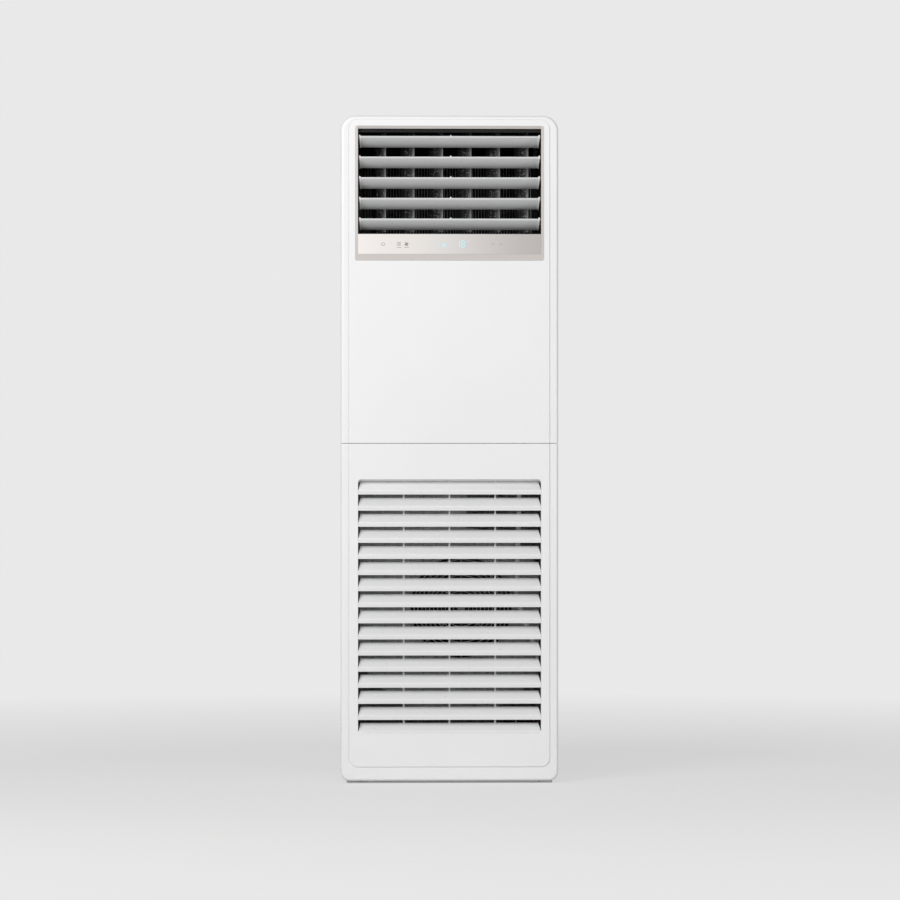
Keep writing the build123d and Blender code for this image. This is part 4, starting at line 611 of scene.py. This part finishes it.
def makeFascia(shape, keys, lights):
    low, high = boxOf("control_fascia")
    piece = newBox("controlFascia", low, high)
    selectIn(piece, "EDGE", lambda place, way: abs(way.y) > 0.9)
    roundSelected(shape["cornerRadius"], 4)
    softenEdges(piece, shape["edge"])
    dress(piece, "fasciaFilm")
    seat(piece, "cabinet", "champagne_gloss", "control_fascia")
    face = low[1]
    x, z, r = keys["power"]
    inside, outside = keys["powerBar"]
    drawStrokes("powerKey", [arc(x, z, r, *keys["powerArc"]), [(x, z + r * inside), (x, z + r * outside)]],
                keys["powerInk"], "greyInk", face)
    x, z, r = keys["grid"]
    drawStrokes("modeKey", [[(x - r, z + row), (x + r, z + row)] for row in keys["gridRows"]],
                shape["ink"], "greyInk", face)
    x, z, r = keys["fan"]
    early, late = keys["petalSpan"]
    petals = [[(x, z)] + arc(x, z, r * reach, a + early, a + late * reach, 6) + [(x, z)]
              for a in keys["petals"] for reach in keys["petalReaches"]]
    drawStrokes("fanKey", petals, shape["ink"], "greyInk", face)
    dashZ, reach = keys["dash"]
    dashes = [[(key[0] - reach, dashZ), (key[0] + reach, dashZ)] for key in (keys["grid"], keys["fan"])]
    drawStrokes("keyDashes", dashes, shape["ink"], "greyInk", face)
    z = keys["chevronZ"]
    wide, fall, rise = keys["chevron"]
    drawStrokes("arrowKeys", [[(x - wide, z - fall * up), (x, z + rise * up), (x + wide, z - fall * up)]
                              for x, up in keys["chevrons"]], shape["ink"], "greyInk", face)
    drawStrokes("displayBars", [[(x, a), (x, b)] for x, a, b in lights["bars"]], lights["barInk"],
                "faintCyanLight", face)
    x, z, r = lights["flake"]
    arms = [[polar(x, z, a + 180, r), polar(x, z, a, r)] for a in (30, 90, 150)]
    barbs = []
    for a in range(30, 390, 60):
        root = polar(x, z, a, r * lights["barbRoot"])
        for turn in (-lights["barbTurn"], lights["barbTurn"]):
            barbs.append([root, polar(*root, a + turn, r * lights["barbReach"])])
    drawStrokes("coolMark", arms + barbs, lights["flakeInk"], "cyanLight", face)
    x, z, r = lights["mark"]
    drawStrokes("displayMark", [[(x - r, z), (x + r, z)], [(x, z - r), (x, z + r)]], lights["markInk"],
                "faintCyanLight", face)
    bottom, top = lights["digitsZ"]
    digits = []
    for text, x in zip("18", lights["digitsX"]):
        digits += digit(text, x, bottom, top, lights["digitWidth"])
    drawStrokes("displayDigits", digits, lights["digitInk"], "cyanLight", face)
    x, z, r = lights["degree"]
    drawStrokes("degreeMark", [arc(x, z, r, 0, 360, 16)], lights["degreeInk"], "faintCyanLight", face)


makeFascia(fasciaShape, keyPrint, displayLight)
print("fascia made")


# ---- outlet blades: a cambered section with a thick round nose, end fences, and a small tip at the middle and at both ends; fences and tips are whiter and glossier than the blade, as a painted highlight

bladeShape = {"axisY": -169.0, "heights": (1778.1, 1720.9, 1663.7, 1606.5, 1549.3), "chord": 54.0,
              "tilt": 33.7, "tailCut": 6.0, "halfWidth": 251.8, "planTaper": 4.6, "noseThick": 5.2,
              "middleThick": 3.2, "tailThick": 1.3, "sag": 4.3, "stations": 12, "noseRound": 0.48,
              "edge": 0.35, "fenceX": 246.6, "fence": 2.2, "fenceRise": 9.0, "fenceProud": 1.5,
              "tips": ((-249.0, 4.4), (3.4, 3.4), (249.0, 4.4)), "tipRadius": 3.0, "tipAt": (-25.2, 2.7),
              "tipRound": 1.2, "pinRadius": 2.5, "pinEnd": 258.0, "crank": (12.6, 6.2), "crankEnd": 255.75,
              "bossRadius": 4.0, "crankRadius": 2.0}


def makeBlade(shape):
    # drawn flat: the nose towards -Y and the upper side towards +Z
    half = shape["chord"] / 2
    wide, thick = shape["halfWidth"], shape["middleThick"]
    deep = shape["chord"] - shape["tailCut"]
    skin = newBox("bladeSkin", (-wide, -half, -thick / 2), (wide, -half + deep, thick / 2))
    places = [-half + deep * step / shape["stations"] for step in range(shape["stations"] + 1)]
    for place in places[1:-1]:
        sliceAt(skin, (0, place, 0), (0, 1, 0))
    for place in places:
        part = place / half
        sag = shape["sag"] * (1 - part * part)
        end = shape["noseThick"] if part < 0 else shape["tailThick"]
        thickness = thick + (end - thick) * part * part
        taper = shape["planTaper"] * (part + 1) / 2
        selectIn(skin, "VERT", lambda at, way: abs(at.y - place) < near)
        bpy.ops.transform.resize(value=((wide - taper) / wide, 1, thickness / thick),
                                 center_override=(0, place * mm, 0))
        moveSelected((0, 0, -sag))
        bpy.ops.object.mode_set(mode="OBJECT")
    selectIn(skin, "EDGE", lambda at, way: abs(way.x) > 0.9 and at.y < -half + near)
    roundSelected(shape["noseThick"] * shape["noseRound"], 6)
    softenEdges(skin, shape["edge"])
    pieces = [skin]
    dress(skin, "bladeAbs")
    for side in (-1, 1):
        # a disc as wide as the chord, pressed to an ellipse
        fence = newRod("bladeFence", (side * (shape["fenceX"] + shape["fence"] / 2), 0, 0), half,
                       shape["fence"], "X", 40)
        selectAllIn(fence)
        bpy.ops.transform.resize(value=(1, 1, shape["fenceRise"] / half), center_override=(0, 0, 0))
        moveSelected((0, -shape["fenceProud"], 0))
        bpy.ops.object.mode_set(mode="OBJECT")
        softenEdges(fence, 0.4)
        dress(fence, "highlightTipAbs")
        pin = newRod("bladePin", (side * (shape["fenceX"] + shape["pinEnd"]) / 2, 0, 0), shape["pinRadius"],
                     shape["pinEnd"] - shape["fenceX"], "X", 20)
        softenEdges(pin, 0.4)
        dress(pin, "blackNylon")
        pieces += [fence, pin]
    along, up = shape["crank"]
    for name, radius, reach in (("crankBoss", shape["bossRadius"], shape["fenceX"] + shape["fence"]),
                                ("crankPin", shape["crankRadius"], shape["crankEnd"])):
        rod = newRod(name, ((shape["fenceX"] + reach) / 2, along, up), radius, reach - shape["fenceX"],
                     "X", 20)
        softenEdges(rod, 0.3)
        dress(rod, "blackNylon")
        pieces.append(rod)
    # the tips' whiter finish is a painted highlight
    for x, length in shape["tips"]:
        tip = newRod("bladeTip", (x, *shape["tipAt"]), shape["tipRadius"], length, "X", 24)
        softenEdges(tip, shape["tipRound"], 3)
        dress(tip, "highlightTipAbs")
        pieces.append(tip)
    return joinAll("outletBlade", pieces)


blade = makeBlade(bladeShape)
for number, height in enumerate(bladeShape["heights"], start=1):
    twin = copyOf(blade, f"outletBlade{number}", movedBy(0, bladeShape["axisY"], height)
                  @ Matrix.Rotation(math.radians(-bladeShape["tilt"]), 4, "X"))
    seat(twin, f"outlet_blade_{number}", "light_abs", f"blade_{number}")
bpy.data.objects.remove(blade)
print("blades made")


# ---- intake grille: sixteen sloping louvres with rounded lips, three ribs and a drafted frame

grilleShape = {"halfWidth": 254.0, "foot": 139.0, "head": 842.5, "lipY": -198.0, "backY": -173.0, "wall": 2.5,
               "lip": 11.3, "rise": 23.9, "pitch": 44.6, "first": 142.5, "count": 16, "lipRound": 2.6,
               "edge": 0.4, "endGap": 0.2, "topRound": 7.0, "frameY": -194.5, "draft": 7.1, "step": 0.5,
               "cornerRadius": 9.0, "ribs": (-127.0, 0.0, 127.0), "rib": 5.0}


def makeLouvre(shape):
    # the lowest lip's top is at the first height; the ends draw in towards the back
    top, wall, face = shape["first"], shape["wall"], shape["lipY"]
    reach = shape["halfWidth"] - shape["endGap"]
    piece = newBox("louvre", (-reach, face, top - shape["lip"]), (reach, face + wall, top - wall))
    selectIn(piece, "EDGE", lambda at, way: abs(way.x) > 0.9 and at.z > top - wall - near
             and at.y < face + near)
    moveSelected((0, 0, wall))
    selectIn(piece, "FACE", lambda at, way: way.z > 0.5)
    depth = shape["backY"] - face - wall
    bpy.ops.mesh.extrude_region_move(TRANSFORM_OT_translate={"value": (0, depth * mm, shape["rise"] * mm)})
    bpy.ops.transform.resize(value=((reach - shape["draft"]) / reach, 1, 1),
                             center_override=(0, shape["backY"] * mm, 0))
    selectIn(piece, "EDGE", lambda at, way: abs(way.x) > 0.9 and abs(at.z - top) < near
             and at.y < face + near)
    roundSelected(shape["lipRound"], 4)
    softenEdges(piece, shape["edge"])
    return piece


def frameBlock(name, shape, margin, overshoot):
    # the top wall slopes down towards the back; overshoot carries a cutter out of both ends
    front, back = shape["frameY"], shape["backY"]
    slope = shape["draft"] / (back - front)
    piece = newBox(name, (-shape["halfWidth"] - margin, front - overshoot, shape["foot"] - margin),
                   (shape["halfWidth"] + margin, back + overshoot, shape["head"] + margin))
    selectIn(piece, "EDGE", lambda at, way: abs(way.y) > 0.9)
    roundSelected(shape["cornerRadius"] + margin, 6)
    middle = (shape["foot"] + shape["head"]) / 2
    for end, drop in ((-1, -slope * overshoot), (1, shape["draft"] + slope * overshoot)):
        selectIn(piece, "VERT", lambda at, way: (at.y - (front + back) / 2) * end > 0 and at.z > middle)
        moveSelected((0, 0, -drop))
        bpy.ops.object.mode_set(mode="OBJECT")
    return piece


def makeGrille(shape):
    louvre = makeLouvre(shape)
    rows = [copyOf(louvre, f"louvre{row}", movedBy(0, 0, row * shape["pitch"]))
            for row in range(1, shape["count"])]
    sliceAt(louvre, (0, 0, shape["foot"] + shape["endGap"]), (0, 0, -1), clear=True)
    backTop = shape["first"] + (shape["count"] - 1) * shape["pitch"] + shape["rise"]
    selectIn(rows[-1], "EDGE", lambda at, way: abs(at.x) > shape["halfWidth"] - shape["draft"] - 1.5
             and at.z > backTop - 4 and abs(way.x) < 0.5)
    roundSelected(shape["topRound"], 6)
    ring = frameBlock("grilleFrame", shape, shape["wall"], 0.0)
    cutWith(ring, frameBlock("frameCut", shape, -shape["step"], 2.0))
    softenEdges(ring, 0.3)
    ribs = []
    for place in shape["ribs"]:
        rib = newBox("grilleRib", (place - shape["rib"] / 2, shape["backY"] - 2 * shape["wall"],
                                   shape["foot"] + shape["endGap"]),
                     (place + shape["rib"] / 2, shape["backY"], shape["head"] - shape["endGap"]))
        softenEdges(rib, 0.5)
        ribs.append(rib)
    piece = joinAll("intakeGrille", [louvre] + rows + ribs + [ring])
    dress(piece, "grilleAbs")
    seat(piece, "front_grille_panel", "white_abs", "intake_grille")


makeGrille(grilleShape)
print("grille made")


# ---- wire guard over the blower inlet: rings on four crossed spokes, standing on eight feet

guardShape = {"x": 35.0, "z": 485.0, "first": 22.0, "pitch": 11.0, "rings": 13, "wire": 2.6, "spokes": 4,
              "ringSteps": 64, "ringSides": 6, "spokeBehind": 0.8, "bossRadius": 12.0, "bossThick": 1.4,
              "bossEdge": 0.8}


def makeGuard(shape):
    low, high = boxOf("inlet_guard")
    wireY = low[1] + shape["wire"] / 2
    outer = shape["first"] + shape["pitch"] * (shape["rings"] - 1)
    pieces = []
    for ring in range(shape["rings"]):
        radius = shape["first"] + ring * shape["pitch"]
        pieces.append(newWireRing("guardRing", (shape["x"], wireY, shape["z"]), radius, shape["wire"],
                                  shape["ringSteps"], shape["ringSides"]))
    for spoke in range(shape["spokes"]):
        angle = spoke * 180 / shape["spokes"]
        rod = newRod("guardSpoke", (shape["x"], wireY + shape["wire"] * shape["spokeBehind"], shape["z"]),
                     shape["wire"] / 2, 2 * outer, "X", 8)
        rod.data.transform(turnedAbout((shape["x"], 0, shape["z"]), angle, "Y"))
        pieces.append(rod)
        for side in (-1, 1):
            foot = newRod("guardFoot", (shape["x"] + side * outer, (wireY + high[1]) / 2, shape["z"]),
                          shape["wire"] / 2, high[1] - wireY, "Y", 8)
            foot.data.transform(turnedAbout((shape["x"], 0, shape["z"]), angle, "Y"))
            pieces.append(foot)
    boss = newRod("guardBoss", (shape["x"], wireY + shape["wire"] / 2, shape["z"]), shape["bossRadius"],
                  shape["wire"] * shape["bossThick"], "Y", 32)
    softenEdges(boss, shape["bossEdge"])
    pieces.append(boss)
    piece = joinAll("inletGuard", pieces)
    pick(piece)
    bpy.ops.object.shade_smooth_by_angle(angle=math.radians(60))
    dress(piece, "guardCoat")
    seat(piece, "cabinet", "coated_wire", "inlet_guard")


makeGuard(guardShape)
print("guard made")


# ---- evaporator: thin fins in front of the coil's block, which leans back, and a sensor tube on them

coilShape = {"halfWidth": 240.0, "frontY": -118.0, "foot": 1010.0, "length": 770.0, "thick": 55.0,
             "slant": 15.0, "finPitch": 8.0, "fin": 0.5, "finDepth": 11.5, "finLap": 0.5,
             "tube": (236.0, 1.5), "tubeLap": 0.2}


def makeCoil(shape):
    start = (0, shape["frontY"], shape["foot"])
    blockY = shape["frontY"] + shape["finDepth"] - shape["finLap"]
    block = newBox("coilBlock", (-shape["halfWidth"], blockY, shape["foot"]),
                   (shape["halfWidth"], shape["frontY"] + shape["thick"], shape["foot"] + shape["length"]))
    softenEdges(block, 0.6)
    fin = newBox("coilFin", (-shape["fin"] / 2, shape["frontY"], shape["foot"]),
                 (shape["fin"] / 2, shape["frontY"] + shape["finDepth"], shape["foot"] + shape["length"]))
    count = int(shape["halfWidth"] * 2 / shape["finPitch"]) - 1
    fins = [copyOf(fin, f"coilFin{k}", movedBy((k - (count - 1) / 2) * shape["finPitch"], 0, 0))
            for k in range(count)]
    bpy.data.objects.remove(fin)
    tubeX, tubeRadius = shape["tube"]
    tubeY, tubeZ = shape["frontY"] - tubeRadius + shape["tubeLap"], shape["foot"] + shape["length"] / 2
    tube = newRod("sensorTube", (tubeX, tubeY, tubeZ), tubeRadius, shape["length"], "Z", 16)
    softenEdges(tube, 0.4)
    finStack = joinAll("evaporatorFins", fins)
    for piece, finish in ((finStack, "finCoat"), (block, "coilShade"), (tube, "tubeCoat")):
        piece.data.transform(turnedAbout(start, -shape["slant"], "X"))
        dress(piece, finish)
        seat(piece, "cabinet", "coil_aluminium", "evaporator_fins")


makeCoil(coilShape)
print("coil made")


# ---- black foam lining the rear panel, near black so that it also stands as painted shade deep inside; a near-black strip behind the outlet's head as painted shadow; a membrane in the pipe port

liningShape = {"low": (-250.0, 192.3, 1030.0), "high": (250.0, 194.8, 1804.0)}
headShadowShape = {"low": (-254.0, -189.0, 1804.0), "high": (254.0, -187.0, 1817.0)}
membraneShape = {"x": 200.0, "y": 191.4, "z": 120.0, "radius": 38.2, "thick": 0.8, "slit": 62.0,
                 "slitWidth": 0.5, "beyond": 5.0}


def makeSheet(name, shape, material):
    piece = newBox(name, shape["low"], shape["high"])
    softenEdges(piece, 0.5)
    dress(piece, material)
    seat(piece, "cabinet", "black_rubber")


def makeMembrane(shape):
    # closes the pipe port until the pipes are pushed through its crossed slits
    x, y, z = shape["x"], shape["y"], shape["z"]
    piece = newRod("portMembrane", (x, y, z), shape["radius"], shape["thick"], "Y", 64)
    for wide, high in ((shape["slit"], shape["slitWidth"]), (shape["slitWidth"], shape["slit"])):
        cutWith(piece, newBox("slitCut", (x - wide / 2, y - shape["beyond"], z - high / 2),
                              (x + wide / 2, y + shape["beyond"], z + high / 2)))
    dress(piece, "blackRubber")
    seat(piece, "cabinet", "black_rubber")


# the lining's near black also serves as painted shade inside the cabinet
makeSheet("rearShadeLining", liningShape, "shadeLiningFoam")
makeMembrane(membraneShape)
# a near-black strip standing for the shadow under the outlet's head
makeSheet("headShadowStrip", headShadowShape, "headShadowFelt")
print("lining made")


# ---- fan wheel: a disc, a hub and thirty-six blades that curve forwards, tied by a front ring

wheelShape = {"x": 35.0, "z": 485.0, "outer": 185.0, "inner": 150.0, "blades": 36, "thick": 1.5,
              "disc": 2.5, "ring": 4.0, "ringWidth": 12.0, "hub": 24.0, "hubLength": 40.0, "shaft": 8.2,
              "curve": 5.0, "steps": 6, "turn": 40.0, "rimGap": 1.0, "frontGap": 0.5, "edge": 0.5}


def pierce(piece, middle, radius, length):
    cutWith(piece, newRod("holeCut", middle, radius, length, "Y", 48))


def makeWheel(shape):
    low, high = boxOf("fan_wheel")
    front, back = low[1], high[1]
    x, z = shape["x"], shape["z"]
    disc = newRod("wheelDisc", (x, back - shape["disc"] / 2, z), shape["outer"], shape["disc"], "Y", 96)
    pierce(disc, (x, back, z), shape["shaft"], 40)
    hub = newRod("wheelHub", (x, back - shape["disc"] - shape["hubLength"] / 2, z), shape["hub"],
                 shape["hubLength"], "Y", 48)
    pierce(hub, (x, back, z), shape["shaft"], 200)
    ring = newRod("wheelRing", (x, front + shape["ring"] / 2, z), shape["outer"], shape["ring"], "Y", 96)
    pierce(ring, (x, front, z), shape["outer"] - shape["ringWidth"], 20)
    for part in (disc, hub, ring):
        softenEdges(part, shape["edge"])
    deep = shape["outer"] - shape["inner"] - shape["rimGap"]
    root, steps = x + shape["inner"], shape["steps"]
    vane = newBox("wheelBlade", (root, front + shape["frontGap"], z - shape["thick"] / 2),
                  (root + deep, back - shape["disc"], z + shape["thick"] / 2))
    for step in range(1, steps):
        sliceAt(vane, (root + deep * step / steps, 0, 0), (1, 0, 0))
    for step in range(steps + 1):
        place = root + deep * step / steps
        lift = shape["curve"] * 4 * (step / steps) * (1 - step / steps)
        selectIn(vane, "VERT", lambda at, way: abs(at.x - place) < near)
        moveSelected((0, 0, lift))
        bpy.ops.object.mode_set(mode="OBJECT")
    vane.data.transform(turnedAbout((root + deep / 2, 0, z), shape["turn"], "Y"))
    pick(vane)
    bpy.ops.object.shade_smooth_by_angle(angle=math.radians(40))
    blades = [copyOf(vane, f"wheelBlade{k}", turnedAbout((x, 0, z), k * 360 / shape["blades"], "Y"))
              for k in range(shape["blades"])]
    bpy.data.objects.remove(vane)
    piece = joinAll("fanWheel", [disc, hub, ring] + blades)
    dress(piece, "wheelAbs")
    seat(piece, "blower_wheel", "dark_abs", "fan_wheel")


makeWheel(wheelShape)
print("wheel made")


# ---- cabinet screws: pan heads with a cross recess, down both edges of the rear panel

screwShape = {"columns": (-291.5, 291.5), "foot": 75.0, "pitch": 340.0, "rows": 6, "head": 4.2,
              "headHeight": 2.2, "headRound": 1.3, "shank": 1.9, "slot": (5.0, 1.0, 1.1),
              "rowTurn": 17, "columnTurn": 31}


def makeScrews(shape):
    low, high = boxOf("cabinet_screws")
    faceY = high[1] - shape["headHeight"]
    head = newRod("screwHead", (0, faceY + shape["headHeight"] / 2, 0), shape["head"], shape["headHeight"],
                  "Y", 24)
    selectIn(head, "EDGE", lambda at, way: abs(at.y - high[1]) < near)
    roundSelected(shape["headRound"], 4)
    long, wide, deep = shape["slot"]
    for size in ((long, wide), (wide, long)):
        cutWith(head, newBox("slotCut", (-size[0] / 2, high[1] - deep, -size[1] / 2),
                             (size[0] / 2, high[1] + 1, size[1] / 2)))
    shank = newRod("screwShank", (0, (low[1] + faceY) / 2, 0), shape["shank"], faceY - low[1], "Y", 12)
    softenEdges(head, 0.15, 1)
    softenEdges(shank, 0.3, 1)
    screw = joinAll("screw", [head, shank])
    copies = []
    for column, x in enumerate(shape["columns"]):
        for row in range(shape["rows"]):
            # no two recesses stand alike
            turn = math.radians(shape["rowTurn"] * row + shape["columnTurn"] * column)
            copies.append(copyOf(screw, f"screw{column}{row}",
                                 movedBy(x, 0, shape["foot"] + row * shape["pitch"])
                                 @ Matrix.Rotation(turn, 4, "Y")))
    bpy.data.objects.remove(screw)
    piece = joinAll("cabinetScrews", copies)
    dress(piece, "zincSteel")
    seat(piece, "cabinet", "zinc_steel", "cabinet_screws")


makeScrews(screwShape)
print("screws made")


# ---- floor, lights and camera

def addFloor(settings):
    clearSelection()
    bpy.ops.mesh.primitive_circle_add(vertices=96, radius=settings["radius"], fill_type="NGON",
                                      location=(0, 0, 0))
    floor = bpy.context.object
    floor.name = "studioFloor"
    material, tree, shader, place = startMaterial("studioFloorPaint", {
        "Base Color": linearColour(settings["colour"]), "Roughness": 0.9})
    # for the camera alone the floor is lifted towards the backdrop's colour; the shadow stays
    path = addNode(tree, "ShaderNodeLightPath")
    lift = addNode(tree, "ShaderNodeMath", settings={"operation": "MULTIPLY"},
                   links={0: path.outputs["Is Camera Ray"]}, values={1: settings["lift"]})
    pale = addNode(tree, "ShaderNodeEmission", values={"Color": linearColour(settings["seen"])})
    lifted = addNode(tree, "ShaderNodeMixShader", links={
        0: lift.outputs["Value"], 1: shader.outputs["BSDF"], 2: pale.outputs["Emission"]})
    # the paint fades out towards the rim, so that the floor has no edge
    reach = addNode(tree, "ShaderNodeVectorMath", settings={"operation": "LENGTH"}, links={0: place})
    fade = addNode(tree, "ShaderNodeMapRange", values={
        "From Min": settings["radius"] * 0.3, "From Max": settings["radius"] * 0.95},
        links={"Value": reach.outputs["Value"]})
    clear = addNode(tree, "ShaderNodeBsdfTransparent")
    blend = addNode(tree, "ShaderNodeMixShader", links={
        0: fade.outputs["Result"], 1: lifted.outputs["Shader"], 2: clear.outputs["BSDF"]})
    output = next(node for node in tree.nodes if node.type == "OUTPUT_MATERIAL")
    tree.links.new(blend.outputs["Shader"], output.inputs["Surface"])
    floor.data.materials.append(material)


def addSoftbox(name, settings):
    light = bpy.data.lights.new(name, "AREA")
    light.shape = "RECTANGLE"
    light.size, light.size_y = settings["size"]
    light.energy = settings["watts"]
    lamp = bpy.data.objects.new(name, light)
    bpy.context.scene.collection.objects.link(lamp)
    lamp.location = settings["at"]
    aim = Vector(settings["towards"]) - lamp.location
    lamp.rotation_euler = aim.to_track_quat("-Z", "Y").to_euler()


def setWorld(settings):
    world = bpy.data.worlds.new("studioAir")
    bpy.context.scene.world = world
    world.use_nodes = True
    tree = world.node_tree
    tree.nodes.clear()
    air = addNode(tree, "ShaderNodeBackground", values={
        "Color": linearColour(settings["light"]), "Strength": settings["strength"]})
    seen = addNode(tree, "ShaderNodeBackground", values={
        "Color": linearColour(settings["seen"]), "Strength": 1.0})
    path = addNode(tree, "ShaderNodeLightPath")
    blend = addNode(tree, "ShaderNodeMixShader", links={
        0: path.outputs["Is Camera Ray"], 1: air.outputs["Background"], 2: seen.outputs["Background"]})
    addNode(tree, "ShaderNodeOutputWorld", links={"Surface": blend.outputs["Shader"]})


def addCamera(settings):
    # it stands a little to the left of the object's middle and is turned back towards it
    camera = bpy.data.objects.new("camera", bpy.data.cameras.new("camera"))
    bpy.context.scene.collection.objects.link(camera)
    camera.location = (settings["centreX"] - settings["aside"], settings["planeY"] - settings["distance"],
                       settings["centreZ"])
    camera.rotation_euler = (math.radians(90), 0, -math.atan(settings["aside"] / settings["distance"]))
    camera.data.sensor_width = settings["sensor"]
    camera.data.lens = settings["sensor"] * settings["distance"] / settings["frameHeight"]
    camera.data.clip_end = 100
    bpy.context.scene.camera = camera


studio = {
    "floor": {"radius": 4.5, "colour": "#d4d4d3", "seen": "#e9e9e9", "lift": 0.7},
    "world": {"light": "#ffffff", "strength": 0.28, "seen": "#e9e9e9"},
    "key": {"at": (-2.7, -4.2, 2.8), "towards": (0.0, 0.0, 1.2), "size": (2.2, 2.2), "watts": 168},
    "fill": {"at": (2.6, -4.2, 2.0), "towards": (0.0, 0.0, 0.8), "size": (2.0, 2.4), "watts": 22},
    "side": {"at": (3.6, -2.0, 1.1), "towards": (0.2, 0.0, 0.95), "size": (0.8, 2.6), "watts": 22},
    "strip": {"at": (-0.3, -3.6, 3.9), "towards": (0.0, 0.0, 0.8), "size": (3.4, 0.35), "watts": 22},
    "camera": {"centreX": 0.0010, "aside": 0.32, "centreZ": 0.9235, "planeY": -0.200, "distance": 12.0,
               "frameHeight": 2.4926, "sensor": 36},
}
addFloor(studio["floor"])
setWorld(studio["world"])
for lamp in ("key", "fill", "side", "strip"):
    addSoftbox(lamp + "Softbox", studio[lamp])
addCamera(studio["camera"])
bpy.context.scene.view_settings.view_transform = "Standard"
print("studio set")
